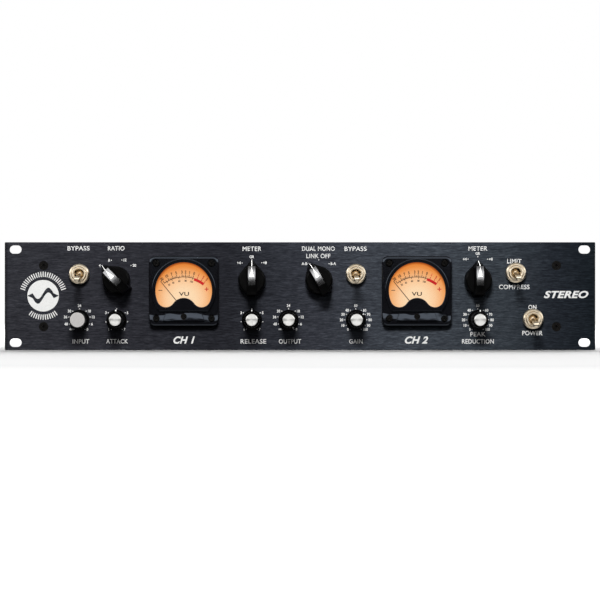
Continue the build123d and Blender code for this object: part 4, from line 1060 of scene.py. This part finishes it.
def soft_lights():
    """Rectangular area lights, each turned towards its target."""
    for name, location, target, width, height, power in LIGHTS:
        light = bpy.data.lights.new(name, "AREA")
        light.shape = "RECTANGLE"
        light.size = width
        light.size_y = height
        light.energy = power
        lamp = bpy.data.objects.new(name, light)
        lamp.location = location
        lamp.rotation_mode = "QUATERNION"
        lamp.rotation_quaternion = (Vector(target) - Vector(location)).to_track_quat("-Z", "Y")
        lamp.visible_glossy = False
        bpy.context.scene.collection.objects.link(lamp)


def surroundings():
    """A white background, a faint fill light, and a room for shiny parts to reflect."""
    world = bpy.data.worlds.new("studio")
    world.use_nodes = True
    nodes, links = world.node_tree.nodes, world.node_tree.links
    fill = nodes["Background"]
    fill.inputs["Color"].default_value = FILL_COLOUR
    fill.inputs["Strength"].default_value = FILL_STRENGTH
    white, around = nodes.new("ShaderNodeBackground"), nodes.new("ShaderNodeBackground")
    white.inputs["Color"].default_value = (1, 1, 1, 1)
    direction = nodes.new("ShaderNodeSeparateXYZ")
    links.new(nodes.new("ShaderNodeTexCoord").outputs["Generated"], direction.inputs[0])
    level = nodes.new("ShaderNodeMapRange")
    level.inputs["From Min"].default_value = -1
    links.new(direction.outputs["Z"], level.inputs["Value"])
    room = nodes.new("ShaderNodeValToRGB")
    elements = room.color_ramp.elements
    while len(elements) < len(ROOM):
        elements.new(0.5)
    for element, (rise, tone) in zip(elements, ROOM):
        element.position = (rise + 1) / 2
        element.color = (tone, tone, tone, 1)
    links.new(level.outputs[0], room.inputs[0])
    links.new(room.outputs["Color"], around.inputs["Color"])
    around.inputs["Strength"].default_value = ROOM_STRENGTH
    path = nodes.new("ShaderNodeLightPath")

    def choose(test, otherwise, chosen):
        mix = nodes.new("ShaderNodeMixShader")
        links.new(path.outputs[test], mix.inputs[0])
        links.new(otherwise.outputs[0], mix.inputs[1])
        links.new(chosen.outputs[0], mix.inputs[2])
        return mix

    seen = choose("Is Camera Ray", choose("Is Diffuse Ray", around, fill), white)
    links.new(seen.outputs[0], nodes["World Output"].inputs["Surface"])
    bpy.context.scene.world = world
    bpy.context.scene.view_settings.view_transform = "Standard"


def photo_camera():
    """A camera square to the panel, which shifts its picture to frame it as the photograph does."""
    camera_data = bpy.data.cameras.new("camera")
    camera_data.sensor_width = SENSOR_MM
    camera_data.lens = SENSOR_MM * CAMERA_DISTANCE_MM / VIEW_WIDTH_MM
    camera_data.shift_x = -CAMERA_X_MM / VIEW_WIDTH_MM
    camera_data.shift_y = -CAMERA_Z_MM / VIEW_WIDTH_MM - VIEW_DROP
    camera = bpy.data.objects.new("camera", camera_data)
    camera.location = (CAMERA_X_MM * MM, PANEL_FRONT - CAMERA_DISTANCE_MM * MM, CAMERA_Z_MM * MM)
    camera.rotation_euler = (math.pi / 2, 0, 0)
    bpy.context.scene.collection.objects.link(camera)
    bpy.context.scene.camera = camera


# ---------------------------------------------------------------- the scene
NICKEL = satin_nickel()
dress_cad(NICKEL)
toggle_hardware(NICKEL)
INK = white_ink()
panel_legends(INK)
pot_scales(INK)
rotary_scales(INK)
emblem(INK)
names(INK)
rear_legends(INK)
meter_print(
    dial_ink("dial_black_ink", (0.012, 0.008, 0.006), (0.03, 0.02, 0.015)),
    dial_ink("dial_red_ink", (0.42, 0.010, 0.012), (0.55, 0.02, 0.02)),
)
PAINT = pointer_paint()
pointer_lines(PAINT)
inlay_arrows(PAINT)
pale_floor()
soft_lights()
surroundings()
photo_camera()
